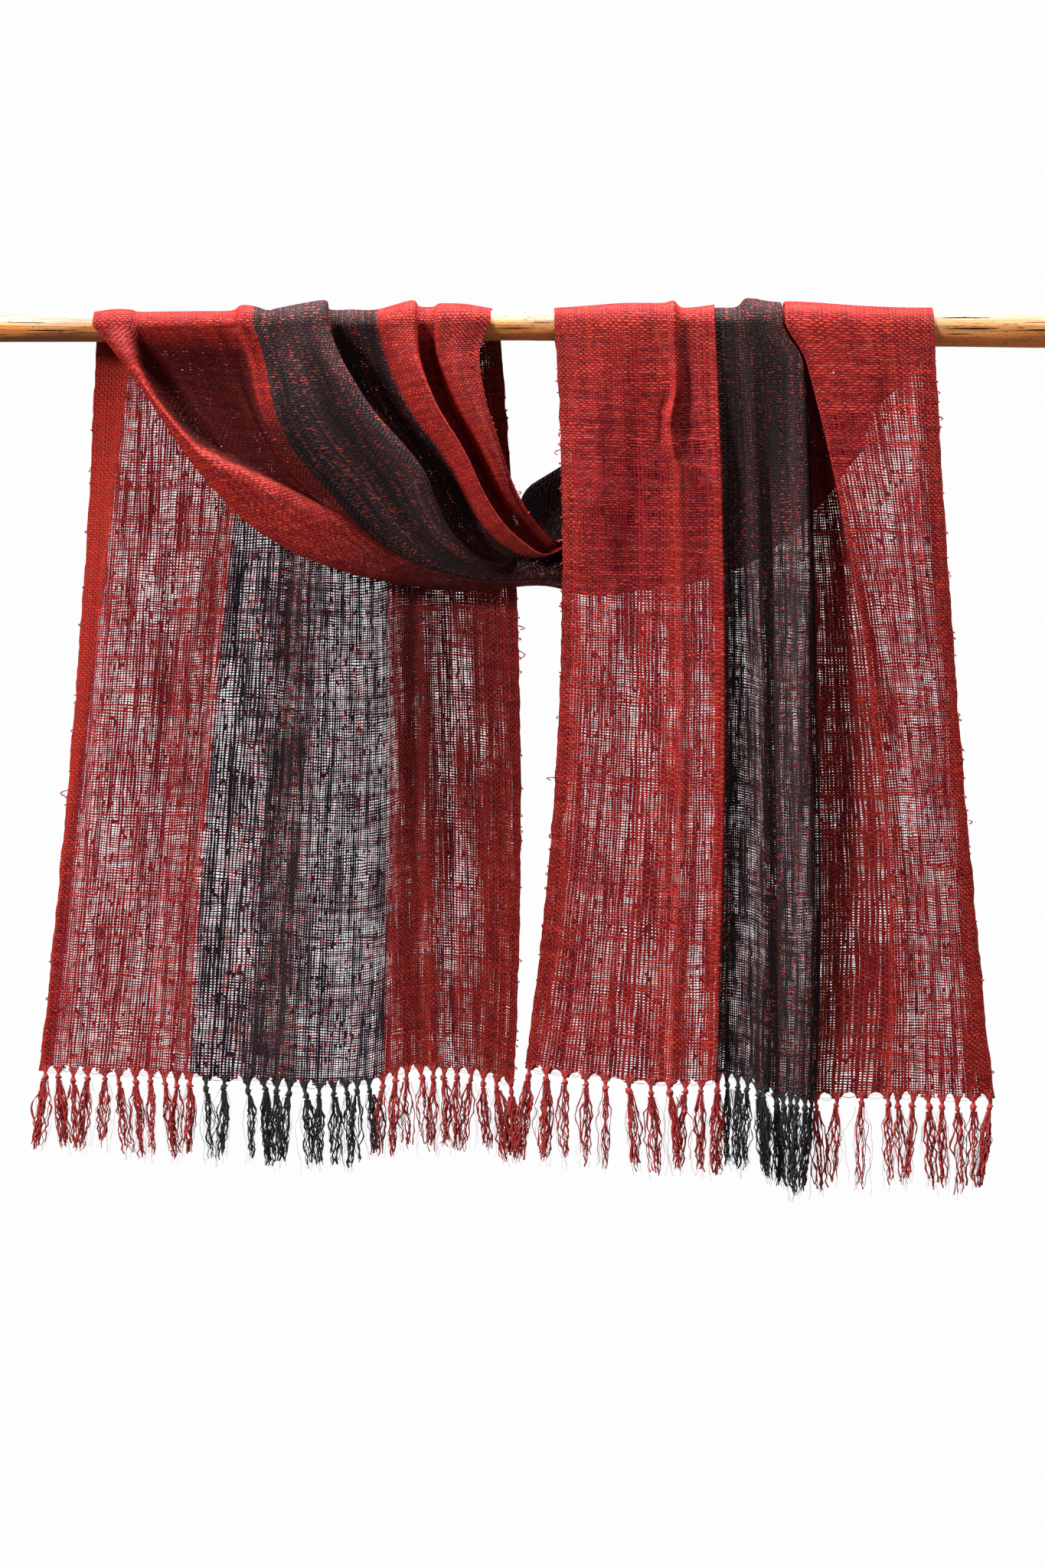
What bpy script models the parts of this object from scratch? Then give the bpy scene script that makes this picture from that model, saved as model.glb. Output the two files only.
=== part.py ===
"""Handwoven silk scarf draped over a wooden rod.

The scarf is one long open-weave rectangle with a black stripe down its middle and a knotted fringe
on each end. It hangs behind the rod at the left, comes over it to the front, swags down to the right
and rises behind the rod, then comes over it again and hangs in front at the right.

Every stretch of cloth starts as the flat grid of its cut. Its points are moved on to the drape by the
fold tables below, and Solidify gives the grid its wall.
"""

import math
import random
from collections import namedtuple

import bmesh
import bpy
from mathutils import Vector

MM = 0.001

# Driving dimensions, in metres. The rod runs along X and the middle of its axis is the origin.
CUT_WIDTH = 0.458
CLOTH_WALL = 0.0012
SEAM_GAP = 0.0006
HEM_GAP = 0.0008
ROD_SIDES_RESOLUTION = 8
FALL_CLEARANCE = 0.0065
BACK_CLEARANCE = 0.0055

# Tassels: every bundle of warp ends is gathered, knotted and left as loose strands.
TASSELS_PER_END = 34
TASSEL_LENGTH = 0.080
TASSEL_LENGTH_CHANCE = (0.93, 1.05)
TASSEL_TILT = 0.02
STRIP_HEIGHT = 0.0026
ROOT_WIDTH = 0.0056
STRAND_SPREAD = 0.0023
STRAND_WIDTH = 0.0018
STRAND_TIP_WIDTH = 0.0008
STRAND_SWAY_CHANCE = (0.7, 1.3)

# Rings of a tassel below the strip: the gathered neck, the knot's middle and the tail under the knot.
TasselRing = namedtuple("TasselRing", "drop width depth")
TASSEL_RINGS = (
    TasselRing(0.0045, 0.0021, 0.0018),
    TasselRing(0.0066, 0.0052, 0.0039),
    TasselRing(0.0127, 0.0032, 0.0021),
)

# Grid cells in each fold interval across the cloth, and rows of cells along it. The rows of a fall
# are closer together near the rod.
CELLS_PER_FOLD = 2
ARC_ROWS = 4
SWAG_ROWS = 25
FALL_ROWS = 8
FALL_ROW_EASE = 1.25

# Tables are in millimetres.
RodPoint = namedtuple("RodPoint", "x radius rise")
ROD_POINTS = (
    RodPoint(-530, 12.4, -1.4),
    RodPoint(-500, 12.5, -1.4),
    RodPoint(-391, 12.8, -1.0),
    RodPoint(-200, 13.4, 0.5),
    RodPoint(0, 14.1, 1.5),
    RodPoint(200, 15.6, 0.4),
    RodPoint(374, 17.2, -1.2),
    RodPoint(500, 17.6, -1.8),
    RodPoint(530, 17.6, -1.8),
)

# One row for each section along the swag, from the front of the rod at the left to its back at the right.
# The outer edge hangs lowest. hang is how far the section lies behind the rod's axis.
SwagSection = namedtuple("SwagSection", "along outer_x outer_z middle_x middle_z inner_x inner_z hang")
SWAG_SECTIONS = (
    SwagSection(0.00, -391, 0, -210, 0, -29, 0, -14.0),
    SwagSection(0.08, -373, -23, -196, -36, -39, -25, -16.5),
    SwagSection(0.18, -340, -69, -175, -83, -34, -65, -18.0),
    SwagSection(0.28, -294, -135, -145, -123, -23, -101, -17.0),
    SwagSection(0.36, -236, -191, -107, -160, -11, -138, -14.0),
    SwagSection(0.43, -156, -226, -63, -191, 1, -163, -9.5),
    SwagSection(0.50, -58, -241, -19, -211, 14, -181, -4.0),
    SwagSection(0.56, 16, -236, 18, -219, 33, -196, -0.5),
    SwagSection(0.63, 82, -244, 60, -205, 48, -165, 5.0),
    SwagSection(0.75, 215, -212, 138, -149, 42, -93, 11.0),
    SwagSection(0.88, 317, -121, 191, -65, 37, -37, 15.0),
    SwagSection(1.00, 374, 0, 201, 0, 29, 0, 17.0),
)

# One row for each fold of the swag, from the outer selvedge to the inner one. A share is the place
# between the outer and inner edges of a section, and a rise is towards the front. lobe is how much of
# the lobe's shift the fold takes, and lobe_back how far it goes behind the others there.
SwagFold = namedtuple(
    "SwagFold", "across rod_share rod_lift middle_share middle_rise bunch_share bunch_rise lobe lobe_back")
SWAG_FOLDS = (
    SwagFold(0.000, 0.000, 2.0, 0.000, -5.0, 0.000, -7.0, 0.0, 0.0),
    SwagFold(0.070, 0.088, 3.6, 0.040, 3.0, 0.030, -7.0, 0.0, 0.0),
    SwagFold(0.100, 0.106, 1.6, 0.110, 7.0, 0.060, -5.5, 0.0, 0.0),
    SwagFold(0.150, 0.180, 1.6, 0.190, 4.0, 0.090, -3.5, 0.0, 0.0),
    SwagFold(0.200, 0.260, 1.6, 0.230, -3.0, 0.120, -1.5, 0.0, 0.0),
    SwagFold(0.260, 0.345, 1.8, 0.262, -4.5, 0.150, 0.0, 0.0, 0.0),
    SwagFold(0.285, 0.370, 6.5, 0.285, -2.0, 0.175, 1.5, 0.0, 2.0),
    SwagFold(0.310, 0.404, 5.5, 0.310, -1.0, 0.200, 2.5, 0.0, 5.5),
    SwagFold(0.345, 0.437, 1.8, 0.370, 0.5, 0.225, 3.5, 0.05, 9.5),
    SwagFold(0.370, 0.462, 3.5, 0.430, 2.5, 0.248, 4.5, 0.15, 13.5),
    SwagFold(0.430, 0.530, 8.0, 0.540, 5.5, 0.280, 5.5, 0.6, 18.5),
    SwagFold(0.500, 0.584, 10.0, 0.655, 7.5, 0.315, 6.0, 1.0, 19.5),
    SwagFold(0.525, 0.594, 2.0, 0.685, -2.0, 0.360, 3.0, 1.0, 13.5),
    SwagFold(0.600, 0.650, 1.6, 0.730, -4.0, 0.410, -1.0, 0.55, 6.5),
    SwagFold(0.690, 0.714, 1.6, 0.775, 0.5, 0.480, 0.5, 0.15, 2.0),
    SwagFold(0.780, 0.800, 9.5, 0.840, 7.0, 0.640, 8.0, 0.0, 0.0),
    SwagFold(0.815, 0.820, 4.0, 0.880, -3.0, 0.760, 3.0, 0.0, 0.0),
    SwagFold(0.860, 0.856, 3.6, 0.905, -4.0, 0.820, -3.0, 0.0, 0.0),
    SwagFold(0.885, 0.872, 6.5, 0.928, 0.5, 0.870, -3.5, 0.0, 0.0),
    SwagFold(0.940, 0.930, 6.0, 0.965, 2.5, 0.935, -2.0, 0.0, 0.0),
    SwagFold(1.000, 1.000, 1.8, 1.000, 2.0, 1.000, 2.5, 0.0, 0.0),
)
SWAG_MIDDLE = 0.30
SWAG_BUNCH = 0.53
SWAG_REAR = 0.80
REAR_RISE_SHARE = 0.3
REAR_BLEND = 0.86
FRONT_LIFT_FADE = 0.12

# A lobe of the black stripe stands up behind the inner selvedge.
LOBE_SHIFT_X = -45
LOBE_SHIFT_Z = 75
LOBE_START = 0.52
LOBE_FULL = 0.67
LOBE_FALL = 0.70
LOBE_END = 0.86
LOBE_BACK_START = 0.45
LOBE_BACK_FULL = 0.58
LOBE_BACK_END = 0.94

# One row for each fold of the fall in front of the rod, from its outer (right) selvedge.
FrontFold = namedtuple("FrontFold", "across rod_x rod_lift middle_x middle_rise hem_x hem_rise hem_z")
FRONT_FOLDS = (
    FrontFold(0.000, 374, 1.6, 397, 0.0, 428, 0.0, -703),
    FrontFold(0.070, 340, 1.8, 377, -1.0, 404, 0.5, -706),
    FrontFold(0.140, 300, 3.5, 350, 0.5, 377, 0.0, -705),
    FrontFold(0.220, 262, 6.5, 328, 1.0, 352, 0.5, -704),
    FrontFold(0.260, 238, 6.5, 313, 2.5, 335, 1.5, -704),
    FrontFold(0.275, 243, 2.6, 322, -2.0, 333, -1.0, -704),
    FrontFold(0.310, 233, 1.8, 305, -4.5, 321, -2.0, -704),
    FrontFold(0.360, 229, 4.0, 285, -4.5, 296, -2.5, -704),
    FrontFold(0.390, 225, 5.0, 275, -4.0, 283, -2.0, -705),
    FrontFold(0.410, 222, 5.5, 266, -1.0, 271, -0.5, -706),
    FrontFold(0.440, 219, 4.0, 256, -3.5, 260, -2.0, -706),
    FrontFold(0.520, 213, 5.5, 239, -3.5, 238, -2.0, -703),
    FrontFold(0.545, 208, 8.5, 231, 0.0, 230, 0.0, -699),
    FrontFold(0.575, 203, 8.5, 222, -1.0, 222, -0.5, -693),
    FrontFold(0.600, 196, 1.8, 213, -4.0, 213, -2.0, -688),
    FrontFold(0.670, 182, 1.6, 188, -4.5, 184, -3.0, -685),
    FrontFold(0.685, 172, 1.8, 178, -1.8, 178, -1.5, -687),
    FrontFold(0.700, 175, 4.4, 184, 2.4, 175, 1.5, -690),
    FrontFold(0.720, 165, 3.4, 171, 1.4, 164, 0.8, -692),
    FrontFold(0.745, 143, 3.0, 153, -1.5, 145, -0.5, -693),
    FrontFold(0.765, 135, 5.0, 145, 2.5, 135, 1.0, -693),
    FrontFold(0.790, 126, 7.0, 136, -0.5, 122, -0.5, -692),
    FrontFold(0.860, 92, 6.0, 98, -1.0, 80, 0.5, -688),
    FrontFold(0.930, 57, 3.5, 66, 1.0, 37, -0.5, -684),
    FrontFold(1.000, 29, 1.6, 33, 0.0, 2, 0.0, -676),
)

# One row for each fold of the fall behind the rod, from its outer (left) selvedge.
BackFold = namedtuple("BackFold", "across middle_x middle_rise hem_x hem_rise hem_z")
BACK_FOLDS = (
    BackFold(0.000, -414, 0.0, -445, 0.0, -682),
    BackFold(0.070, -384, 1.0, -414, 1.0, -684),
    BackFold(0.150, -345, -1.0, -376, 0.0, -686),
    BackFold(0.260, -299, -0.5, -326, -1.0, -688),
    BackFold(0.285, -292, 2.0, -316, 1.0, -689),
    BackFold(0.310, -283, -1.0, -306, -0.5, -690),
    BackFold(0.370, -249, 0.0, -272, 0.5, -692),
    BackFold(0.400, -231, -2.0, -252, -1.0, -694),
    BackFold(0.430, -219, 3.5, -237, 2.0, -695),
    BackFold(0.465, -206, -1.5, -221, -0.5, -696),
    BackFold(0.560, -169, 0.5, -180, 0.5, -698),
    BackFold(0.660, -128, 0.5, -139, -0.5, -694),
    BackFold(0.735, -111, -2.0, -111, -1.0, -685),
    BackFold(0.780, -98, 3.5, -94, 2.0, -682),
    BackFold(0.815, -86, -1.5, -79, -1.0, -682),
    BackFold(0.910, -43, 1.0, -43, 0.5, -686),
    BackFold(1.000, -2, 0.0, -8, 0.0, -696),
)
FALL_MIDDLE_SHARE = 0.52

# Behind the rod the inner selvedge spreads out from the swag's pleats.
BACK_SPREAD = 8.0
BACK_SPREAD_FROM = 0.8
LIFT_FADE_SHARE = 0.30

RED = (0.45, 0.022, 0.018, 1.0)
DARK_RED = (0.33, 0.016, 0.015, 1.0)
WOOD = (0.52, 0.29, 0.14, 1.0)


def clear_scene():
    """Remove the objects that the scene starts with."""
    for scene_object in list(bpy.data.objects):
        bpy.data.objects.remove(scene_object, do_unlink=True)


def make_material(name, colour, roughness):
    """Return a plain Principled material."""
    material = bpy.data.materials.new(name)
    material.use_nodes = True
    shader = material.node_tree.nodes["Principled BSDF"]
    shader.inputs["Base Color"].default_value = colour
    shader.inputs["Roughness"].default_value = roughness
    shader.inputs["Metallic"].default_value = 0.0
    return material


def add_object(name, data, collection, material):
    """Put mesh or curve data into the scene as one named piece."""
    piece = bpy.data.objects.new(name, data)
    data.materials.append(material)
    collection.objects.link(piece)
    return piece


def smooth(share):
    """Ease from 0 to 1, level at both ends."""
    share = min(max(share, 0.0), 1.0)
    return share * share * (3.0 - 2.0 * share)


def mix(start, end, share):
    return start + (end - start) * share


def hump(place, start, full, fall, end):
    """Rise from 0 to 1 between start and full, and back to 0 between fall and end."""
    return smooth((place - start) / (full - start)) * (1.0 - smooth((place - fall) / (end - fall)))


def spline(values, index, share):
    """Pass smoothly through a row of values, between values[index] and the next one."""
    last = len(values) - 1
    before = values[max(index - 1, 0)]
    start = values[index]
    end = values[min(index + 1, last)]
    after = values[min(index + 2, last)]
    start_slope = 0.5 * (end - before)
    end_slope = 0.5 * (after - start)
    square = share * share
    cube = square * share
    return ((2 * cube - 3 * square + 1) * start + (cube - 2 * square + share) * start_slope
            + (3 * square - 2 * cube) * end + (cube - square) * end_slope)


def read_table(rows, key, column, place):
    """Read a table's column at a place along its key column, smoothly between the rows."""
    keys = [getattr(row, key) for row in rows]
    values = [getattr(row, column) for row in rows]
    index = 0
    while index < len(keys) - 2 and place > keys[index + 1]:
        index += 1
    share = (place - keys[index]) / (keys[index + 1] - keys[index])
    return spline(values, index, min(max(share, 0.0), 1.0))


def read_rod(x, column):
    """Radius or rise of the rod at x, straight between its points as the rod's own mesh is."""
    for start, end in zip(ROD_POINTS, ROD_POINTS[1:]):
        if x <= end.x:
            break
    share = (x - start.x) / (end.x - start.x)
    return mix(getattr(start, column), getattr(end, column), share)


def over_rod(x, lift, angle):
    """A point round the rod: angle 0 is its back, a quarter turn its top and a half turn its front."""
    radius = read_rod(x, "radius") + lift
    return Vector((x, radius * math.cos(angle), read_rod(x, "rise") + radius * math.sin(angle)))


def left_crest(across):
    """Place along the rod and lift off it where the scarf crosses the rod at the left."""
    share = read_table(SWAG_FOLDS, "across", "rod_share", across)
    first = SWAG_SECTIONS[0]
    lift = read_table(SWAG_FOLDS, "across", "rod_lift", across)
    return mix(first.outer_x, first.inner_x, share), lift


def right_crest(across):
    """The same where it crosses the rod at the right."""
    x = read_table(FRONT_FOLDS, "across", "rod_x", across)
    lift = read_table(FRONT_FOLDS, "across", "rod_lift", across)
    return x, lift


def swag_sheet(along, share):
    """X and Z of the swag's smooth sheet, through its outer, middle and inner threads."""
    place = []
    for axis in ("x", "z"):
        outer = read_table(SWAG_SECTIONS, "along", "outer_" + axis, along)
        middle = read_table(SWAG_SECTIONS, "along", "middle_" + axis, along)
        inner = read_table(SWAG_SECTIONS, "along", "inner_" + axis, along)
        bow = middle - 0.5 * (outer + inner)
        place.append(mix(outer, inner, share) + 4.0 * share * (1.0 - share) * bow)
    return place


def swag_fold(across, along):
    """Share and rise of one thread at its place along the swag."""
    names = ("rod", "middle", "bunch")
    shares = [read_table(SWAG_FOLDS, "across", name + "_share", across) for name in names]
    rises = [read_table(SWAG_FOLDS, "across", name + "_rise", across) for name in names[1:]]
    if along < SWAG_MIDDLE:
        ease = smooth(along / SWAG_MIDDLE)
        return mix(shares[0], shares[1], ease), rises[0]
    if along < SWAG_BUNCH:
        ease = smooth((along - SWAG_MIDDLE) / (SWAG_BUNCH - SWAG_MIDDLE))
        return mix(shares[1], shares[2], ease), mix(rises[0], rises[1], ease)
    ease = smooth((along - SWAG_BUNCH) / (SWAG_REAR - SWAG_BUNCH))
    return mix(shares[2], across, ease), mix(rises[1], REAR_RISE_SHARE * rises[1], ease)


def swag_point(across, along):
    """A point of the swag between the front of the rod and its back."""
    share, rise = swag_fold(across, along)
    x, z = swag_sheet(along, share)
    hang = read_table(SWAG_SECTIONS, "along", "hang", along) - rise

    rod_x, rod_lift = left_crest(across)
    on_rod = -read_rod(rod_x, "radius") - rod_lift
    near_rod = 1.0 - smooth(along / FRONT_LIFT_FADE)
    y = mix(hang, on_rod, near_rod)
    z += near_rod * read_rod(rod_x, "rise")

    lobe = read_table(SWAG_FOLDS, "across", "lobe", across)
    lobe *= hump(along, LOBE_START, LOBE_FULL, LOBE_FALL, LOBE_END)
    x += lobe * LOBE_SHIFT_X
    z += lobe * LOBE_SHIFT_Z
    back = read_table(SWAG_FOLDS, "across", "lobe_back", across)
    y += back * hump(along, LOBE_BACK_START, LOBE_BACK_FULL, LOBE_END, LOBE_BACK_END)

    end_x, end_lift = right_crest(across)
    near_end = smooth((along - REAR_BLEND) / (1.0 - REAR_BLEND))
    x = mix(x, end_x, near_end)
    y = mix(y, read_rod(end_x, "radius") + end_lift, near_end)
    z += near_end * read_rod(end_x, "rise")
    return Vector((x, y, z))


def back_spread(across):
    return BACK_SPREAD * smooth((across - BACK_SPREAD_FROM) / (1.0 - BACK_SPREAD_FROM))


def no_spread(across):
    return 0.0


def hang_curve(top, middle, hem, down):
    """Pass through a value at the rod, at the middle of a fall and at its hem."""
    first = (middle - top) / FALL_MIDDLE_SHARE
    second = (hem - middle) / (1.0 - FALL_MIDDLE_SHARE)
    return top + first * down + (second - first) * down * (down - FALL_MIDDLE_SHARE)


def fall_point(folds, crest, spread, side, clearance, across, down):
    """A point of a straight fall. side is -1 in front of the rod and 1 behind it."""
    top_x, top_lift = crest(across)
    top_x += spread(across)
    middle_x = read_table(folds, "across", "middle_x", across)
    hem_x = read_table(folds, "across", "hem_x", across)
    hem_z = read_table(folds, "across", "hem_z", across)
    middle_rise = read_table(folds, "across", "middle_rise", across)
    hem_rise = read_table(folds, "across", "hem_rise", across)

    x = hang_curve(top_x, middle_x, hem_x, down)
    z = mix(read_rod(top_x, "rise"), hem_z, down)
    below = smooth((down - FALL_MIDDLE_SHARE) / (1.0 - FALL_MIDDLE_SHARE))
    hang = clearance / MM + mix(middle_rise, hem_rise, below)
    lift = mix(top_lift, hang, smooth(down / LIFT_FADE_SHARE))
    return Vector((x, side * (read_rod(top_x, "radius") + lift), z))


def front_point(across, down):
    return fall_point(FRONT_FOLDS, right_crest, no_spread, -1, FALL_CLEARANCE, across, down)


def back_point(across, down):
    return fall_point(BACK_FOLDS, left_crest, back_spread, 1, BACK_CLEARANCE, across, down)


def seam_angle(x, lift):
    """Half the seam's gap, as an angle round the rod."""
    return 0.5 * SEAM_GAP / MM / (read_rod(x, "radius") + lift)


def crest_rows(crest, spread, side):
    """Functions for the rows of points from the seam on the rod's top down to its front or back."""
    def make_row(share):
        def row(across):
            x, lift = crest(across)
            turn = mix(seam_angle(x, lift), math.pi / 2, share)
            return over_rod(x + share * spread(across), lift, math.pi / 2 - side * turn)
        return row
    return [make_row(row / ARC_ROWS) for row in range(ARC_ROWS)]


def fall_rows(point, crest, spread, side):
    """Rows of a fall, from the seam on the rod to the hem."""
    rows = crest_rows(crest, spread, side)
    for step in range(FALL_ROWS + 1):
        down = (step / FALL_ROWS) ** FALL_ROW_EASE
        rows.append(lambda across, down=down: point(across, down))
    return rows


def swag_rows():
    """Rows of the swag, from the seam at the left, round the swag, to the seam at the right."""
    rows = crest_rows(left_crest, no_spread, -1)
    for step in range(SWAG_ROWS + 1):
        along = step / SWAG_ROWS
        rows.append(lambda across, along=along: swag_point(across, along))
    return rows + crest_rows(right_crest, no_spread, 1)[::-1]


def across_places(folds):
    """Places across the cloth: every fold and the cells between the folds."""
    places = []
    for start, end in zip(folds, folds[1:]):
        for cell in range(CELLS_PER_FOLD):
            places.append(mix(start.across, end.across, cell / CELLS_PER_FOLD))
    return places + [folds[-1].across]


def drape_cloth(name, places, rows, collection, material):
    """Lay out a flat grid of the cut, move its points on to the drape and give it a wall."""
    shape = bmesh.new()
    bmesh.ops.create_grid(shape, x_segments=len(places) - 1, y_segments=len(rows) - 1, size=0.5)
    for vertex in shape.verts:
        column = round((vertex.co.x + 0.5) * (len(places) - 1))
        row = round((vertex.co.y + 0.5) * (len(rows) - 1))
        vertex.co = rows[row](places[column]) * MM
    mesh = bpy.data.meshes.new(name)
    shape.to_mesh(mesh)
    shape.free()
    mesh.shade_smooth()
    cloth = add_object(name, mesh, collection, material)
    wall = cloth.modifiers.new("cloth wall", "SOLIDIFY")
    wall.thickness = CLOTH_WALL
    wall.offset = 0.0
    return cloth


def make_rod(collection, material):
    """A straight-grown stick, thicker at the right, sawn off square at both ends."""
    curve = bpy.data.curves.new("rod", "CURVE")
    curve.dimensions = "3D"
    curve.bevel_depth = MM
    curve.bevel_resolution = ROD_SIDES_RESOLUTION
    curve.use_fill_caps = True
    path = curve.splines.new("POLY")
    path.points.add(len(ROD_POINTS) - 1)
    for point, row in zip(path.points, ROD_POINTS):
        point.co = (row.x * MM, 0.0, row.rise * MM, 1.0)
        point.radius = row.radius
    return add_object("rod", curve, collection, material)


def hem_frame(point, across):
    """Place of the hem, and its directions along the hem and out of the cloth."""
    step = 0.004
    here = point(across, 1.0) * MM
    ahead = point(min(across + step, 1.0), 1.0)
    behind = point(max(across - step, 0.0), 1.0)
    along = ahead - behind
    along.z = 0.0
    along.normalize()
    out = Vector((along.y, -along.x, 0.0))
    return here, along, out


def add_strip_ring(shape, point, across):
    """Four corners of the strip that the tassels hang from."""
    here, _, out = hem_frame(point, across)
    half_wall = 0.5 * CLOTH_WALL
    top = here - Vector((0.0, 0.0, HEM_GAP))
    bottom = top - Vector((0.0, 0.0, STRIP_HEIGHT))
    front, back = out * half_wall, -out * half_wall
    corners = (top + front, bottom + front, bottom + back, top + back)
    return [shape.verts.new(corner) for corner in corners]


def make_strip(shape, point):
    """Loft the strip and return the faces that the tassels grow from."""
    half_root = 0.5 * ROOT_WIDTH / CUT_WIDTH
    places = [0.0]
    for tassel in range(TASSELS_PER_END):
        middle = (tassel + 0.5) / TASSELS_PER_END
        places += [middle - half_root, middle + half_root]
    places.append(1.0)
    rings = [add_strip_ring(shape, point, place) for place in places]
    roots = []
    for number, (ring, following) in enumerate(zip(rings, rings[1:])):
        for corner in range(4):
            after = (corner + 1) % 4
            face = shape.faces.new((ring[corner], ring[after], following[after], following[corner]))
            if corner == 1 and number % 2 == 1:
                roots.append(face)
    shape.faces.new(rings[0][::-1])
    shape.faces.new(rings[-1])
    return roots


def grow(shape, face, centre, along, out, width, depth):
    """Extrude a face to a ring of the given width and depth about a new centre."""
    face = bmesh.ops.extrude_discrete_faces(shape, faces=[face])["faces"][0]
    old_centre = face.calc_center_median()
    corners = [(vertex.co - old_centre).dot(along) for vertex in face.verts]
    depths = [(vertex.co - old_centre).dot(out) for vertex in face.verts]
    for vertex, corner, deep in zip(face.verts, corners, depths):
        half_width = math.copysign(0.5 * width, corner)
        half_depth = math.copysign(0.5 * depth, deep)
        vertex.co = centre + along * half_width + out * half_depth
    return face


def split_in_two(shape, face, along):
    """Halve a face across the tassel's width."""
    wide_edges = [edge for edge in face.edges
                  if abs((edge.verts[0].co - edge.verts[1].co).normalized().dot(along)) > 0.7]
    made = bmesh.ops.subdivide_edges(shape, edges=wide_edges, cuts=1)
    middle = [item for item in made["geom_inner"] if isinstance(item, bmesh.types.BMVert)]
    return [half for half in middle[0].link_faces if middle[1] in half.verts]


def make_tassel(shape, root, point, across, chance):
    """One gathered neck, its knot and two loose strands."""
    here, along, out = hem_frame(point, across)
    tilt = (chance.uniform(-TASSEL_TILT, TASSEL_TILT), chance.uniform(-TASSEL_TILT, TASSEL_TILT))
    down = Vector((tilt[0], tilt[1], -1.0))
    start = here - Vector((0.0, 0.0, HEM_GAP + STRIP_HEIGHT))
    face = root
    for ring in TASSEL_RINGS:
        face = grow(shape, face, start + down * ring.drop, along, out, ring.width, ring.depth)
    tail = start + down * TASSEL_RINGS[-1].drop
    length = TASSEL_LENGTH * chance.uniform(*TASSEL_LENGTH_CHANCE) - TASSEL_RINGS[-1].drop
    for half in split_in_two(shape, face, along):
        side = math.copysign(1.0, (half.calc_center_median() - tail).dot(along))
        swing = along * side * STRAND_SPREAD * chance.uniform(*STRAND_SWAY_CHANCE)
        middle = tail + down * length * 0.5 + swing * 0.75
        half = grow(shape, half, middle, along, out, STRAND_WIDTH, STRAND_WIDTH)
        tip = tail + down * length + swing
        grow(shape, half, tip, along, out, STRAND_TIP_WIDTH, STRAND_TIP_WIDTH)


def make_fringe(name, point, seed, collection, material):
    """A strip just below the hem with its row of knotted tassels."""
    chance = random.Random(seed)
    shape = bmesh.new()
    roots = make_strip(shape, point)
    for tassel, root in enumerate(roots):
        make_tassel(shape, root, point, (tassel + 0.5) / TASSELS_PER_END, chance)
    bmesh.ops.recalc_face_normals(shape, faces=shape.faces)
    mesh = bpy.data.meshes.new(name)
    shape.to_mesh(mesh)
    shape.free()
    return add_object(name, mesh, collection, material)


def main():
    clear_scene()
    collection = bpy.data.collections.new("silk scarf on a wooden rod")
    bpy.context.scene.collection.children.link(collection)
    silk = make_material("red handwoven silk", RED, 0.62)
    fringe_silk = make_material("knotted silk ends", DARK_RED, 0.6)
    wood = make_material("peeled hardwood stick", WOOD, 0.5)

    make_rod(collection, wood)
    swag_places = across_places(SWAG_FOLDS)
    back_rows = fall_rows(back_point, left_crest, back_spread, 1)
    front_rows = fall_rows(front_point, right_crest, no_spread, -1)
    drape_cloth("back_fall", swag_places, back_rows, collection, silk)
    drape_cloth("swag", swag_places, swag_rows(), collection, silk)
    drape_cloth("front_fall", across_places(FRONT_FOLDS), front_rows, collection, silk)
    make_fringe("back_fringe", back_point, 11, collection, fringe_silk)
    make_fringe("front_fringe", front_point, 15, collection, fringe_silk)


main()
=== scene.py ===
import math
import random
from functools import partial

import bpy
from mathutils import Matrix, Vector, noise


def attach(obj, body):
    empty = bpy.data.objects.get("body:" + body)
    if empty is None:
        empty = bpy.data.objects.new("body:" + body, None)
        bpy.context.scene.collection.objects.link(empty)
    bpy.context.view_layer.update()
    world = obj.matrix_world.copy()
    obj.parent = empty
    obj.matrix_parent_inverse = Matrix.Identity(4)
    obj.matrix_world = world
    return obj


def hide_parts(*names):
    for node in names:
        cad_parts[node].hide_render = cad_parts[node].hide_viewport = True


# A handwoven gauze scarf of red silk with a black middle stripe, draped over a peeled stick.
# Sizes are in mm where a note says nothing else.
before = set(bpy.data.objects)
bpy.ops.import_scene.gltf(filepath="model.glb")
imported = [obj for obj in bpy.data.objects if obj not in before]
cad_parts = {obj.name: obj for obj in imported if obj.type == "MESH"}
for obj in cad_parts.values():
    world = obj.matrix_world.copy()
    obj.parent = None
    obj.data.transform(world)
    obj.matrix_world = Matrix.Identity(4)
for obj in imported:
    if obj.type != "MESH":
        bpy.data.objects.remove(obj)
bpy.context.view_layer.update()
mm = 0.001


def mix(start, end, share):
    return start + (end - start) * share


def smooth(share):
    share = min(max(share, 0.0), 1.0)
    return share * share * (3 - 2 * share)


# Rises from start to full and sinks again from fall to end.
def hump(place, start, full, fall, end):
    return smooth((place - start) / (full - start)) * (1 - smooth((place - fall) / (end - fall)))


# Every value of a table at a place along its first column, smooth between its rows.
def readTable(rows, place):
    index = 0
    while index < len(rows) - 2 and place > rows[index + 1][0]:
        index += 1
    start, end = rows[index], rows[index + 1]
    before, after = rows[max(index - 1, 0)], rows[min(index + 2, len(rows) - 1)]
    share = min(max((place - start[0]) / (end[0] - start[0]), 0.0), 1.0)
    square, cube = share ** 2, share ** 3
    values = []
    for b, s, e, a in zip(before[1:], start[1:], end[1:], after[1:]):
        value = (2 * cube - 3 * square + 1) * s + (3 * square - 2 * cube) * e
        value += (cube - 2 * square + share) * 0.5 * (e - b) + (cube - square) * 0.5 * (a - s)
        values.append(value)
    return values


# Smooth noise with lumps about one unit wide
def lumps(x, y, seed):
    return noise.noise(Vector((x, y, seed * 7.31)))


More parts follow.
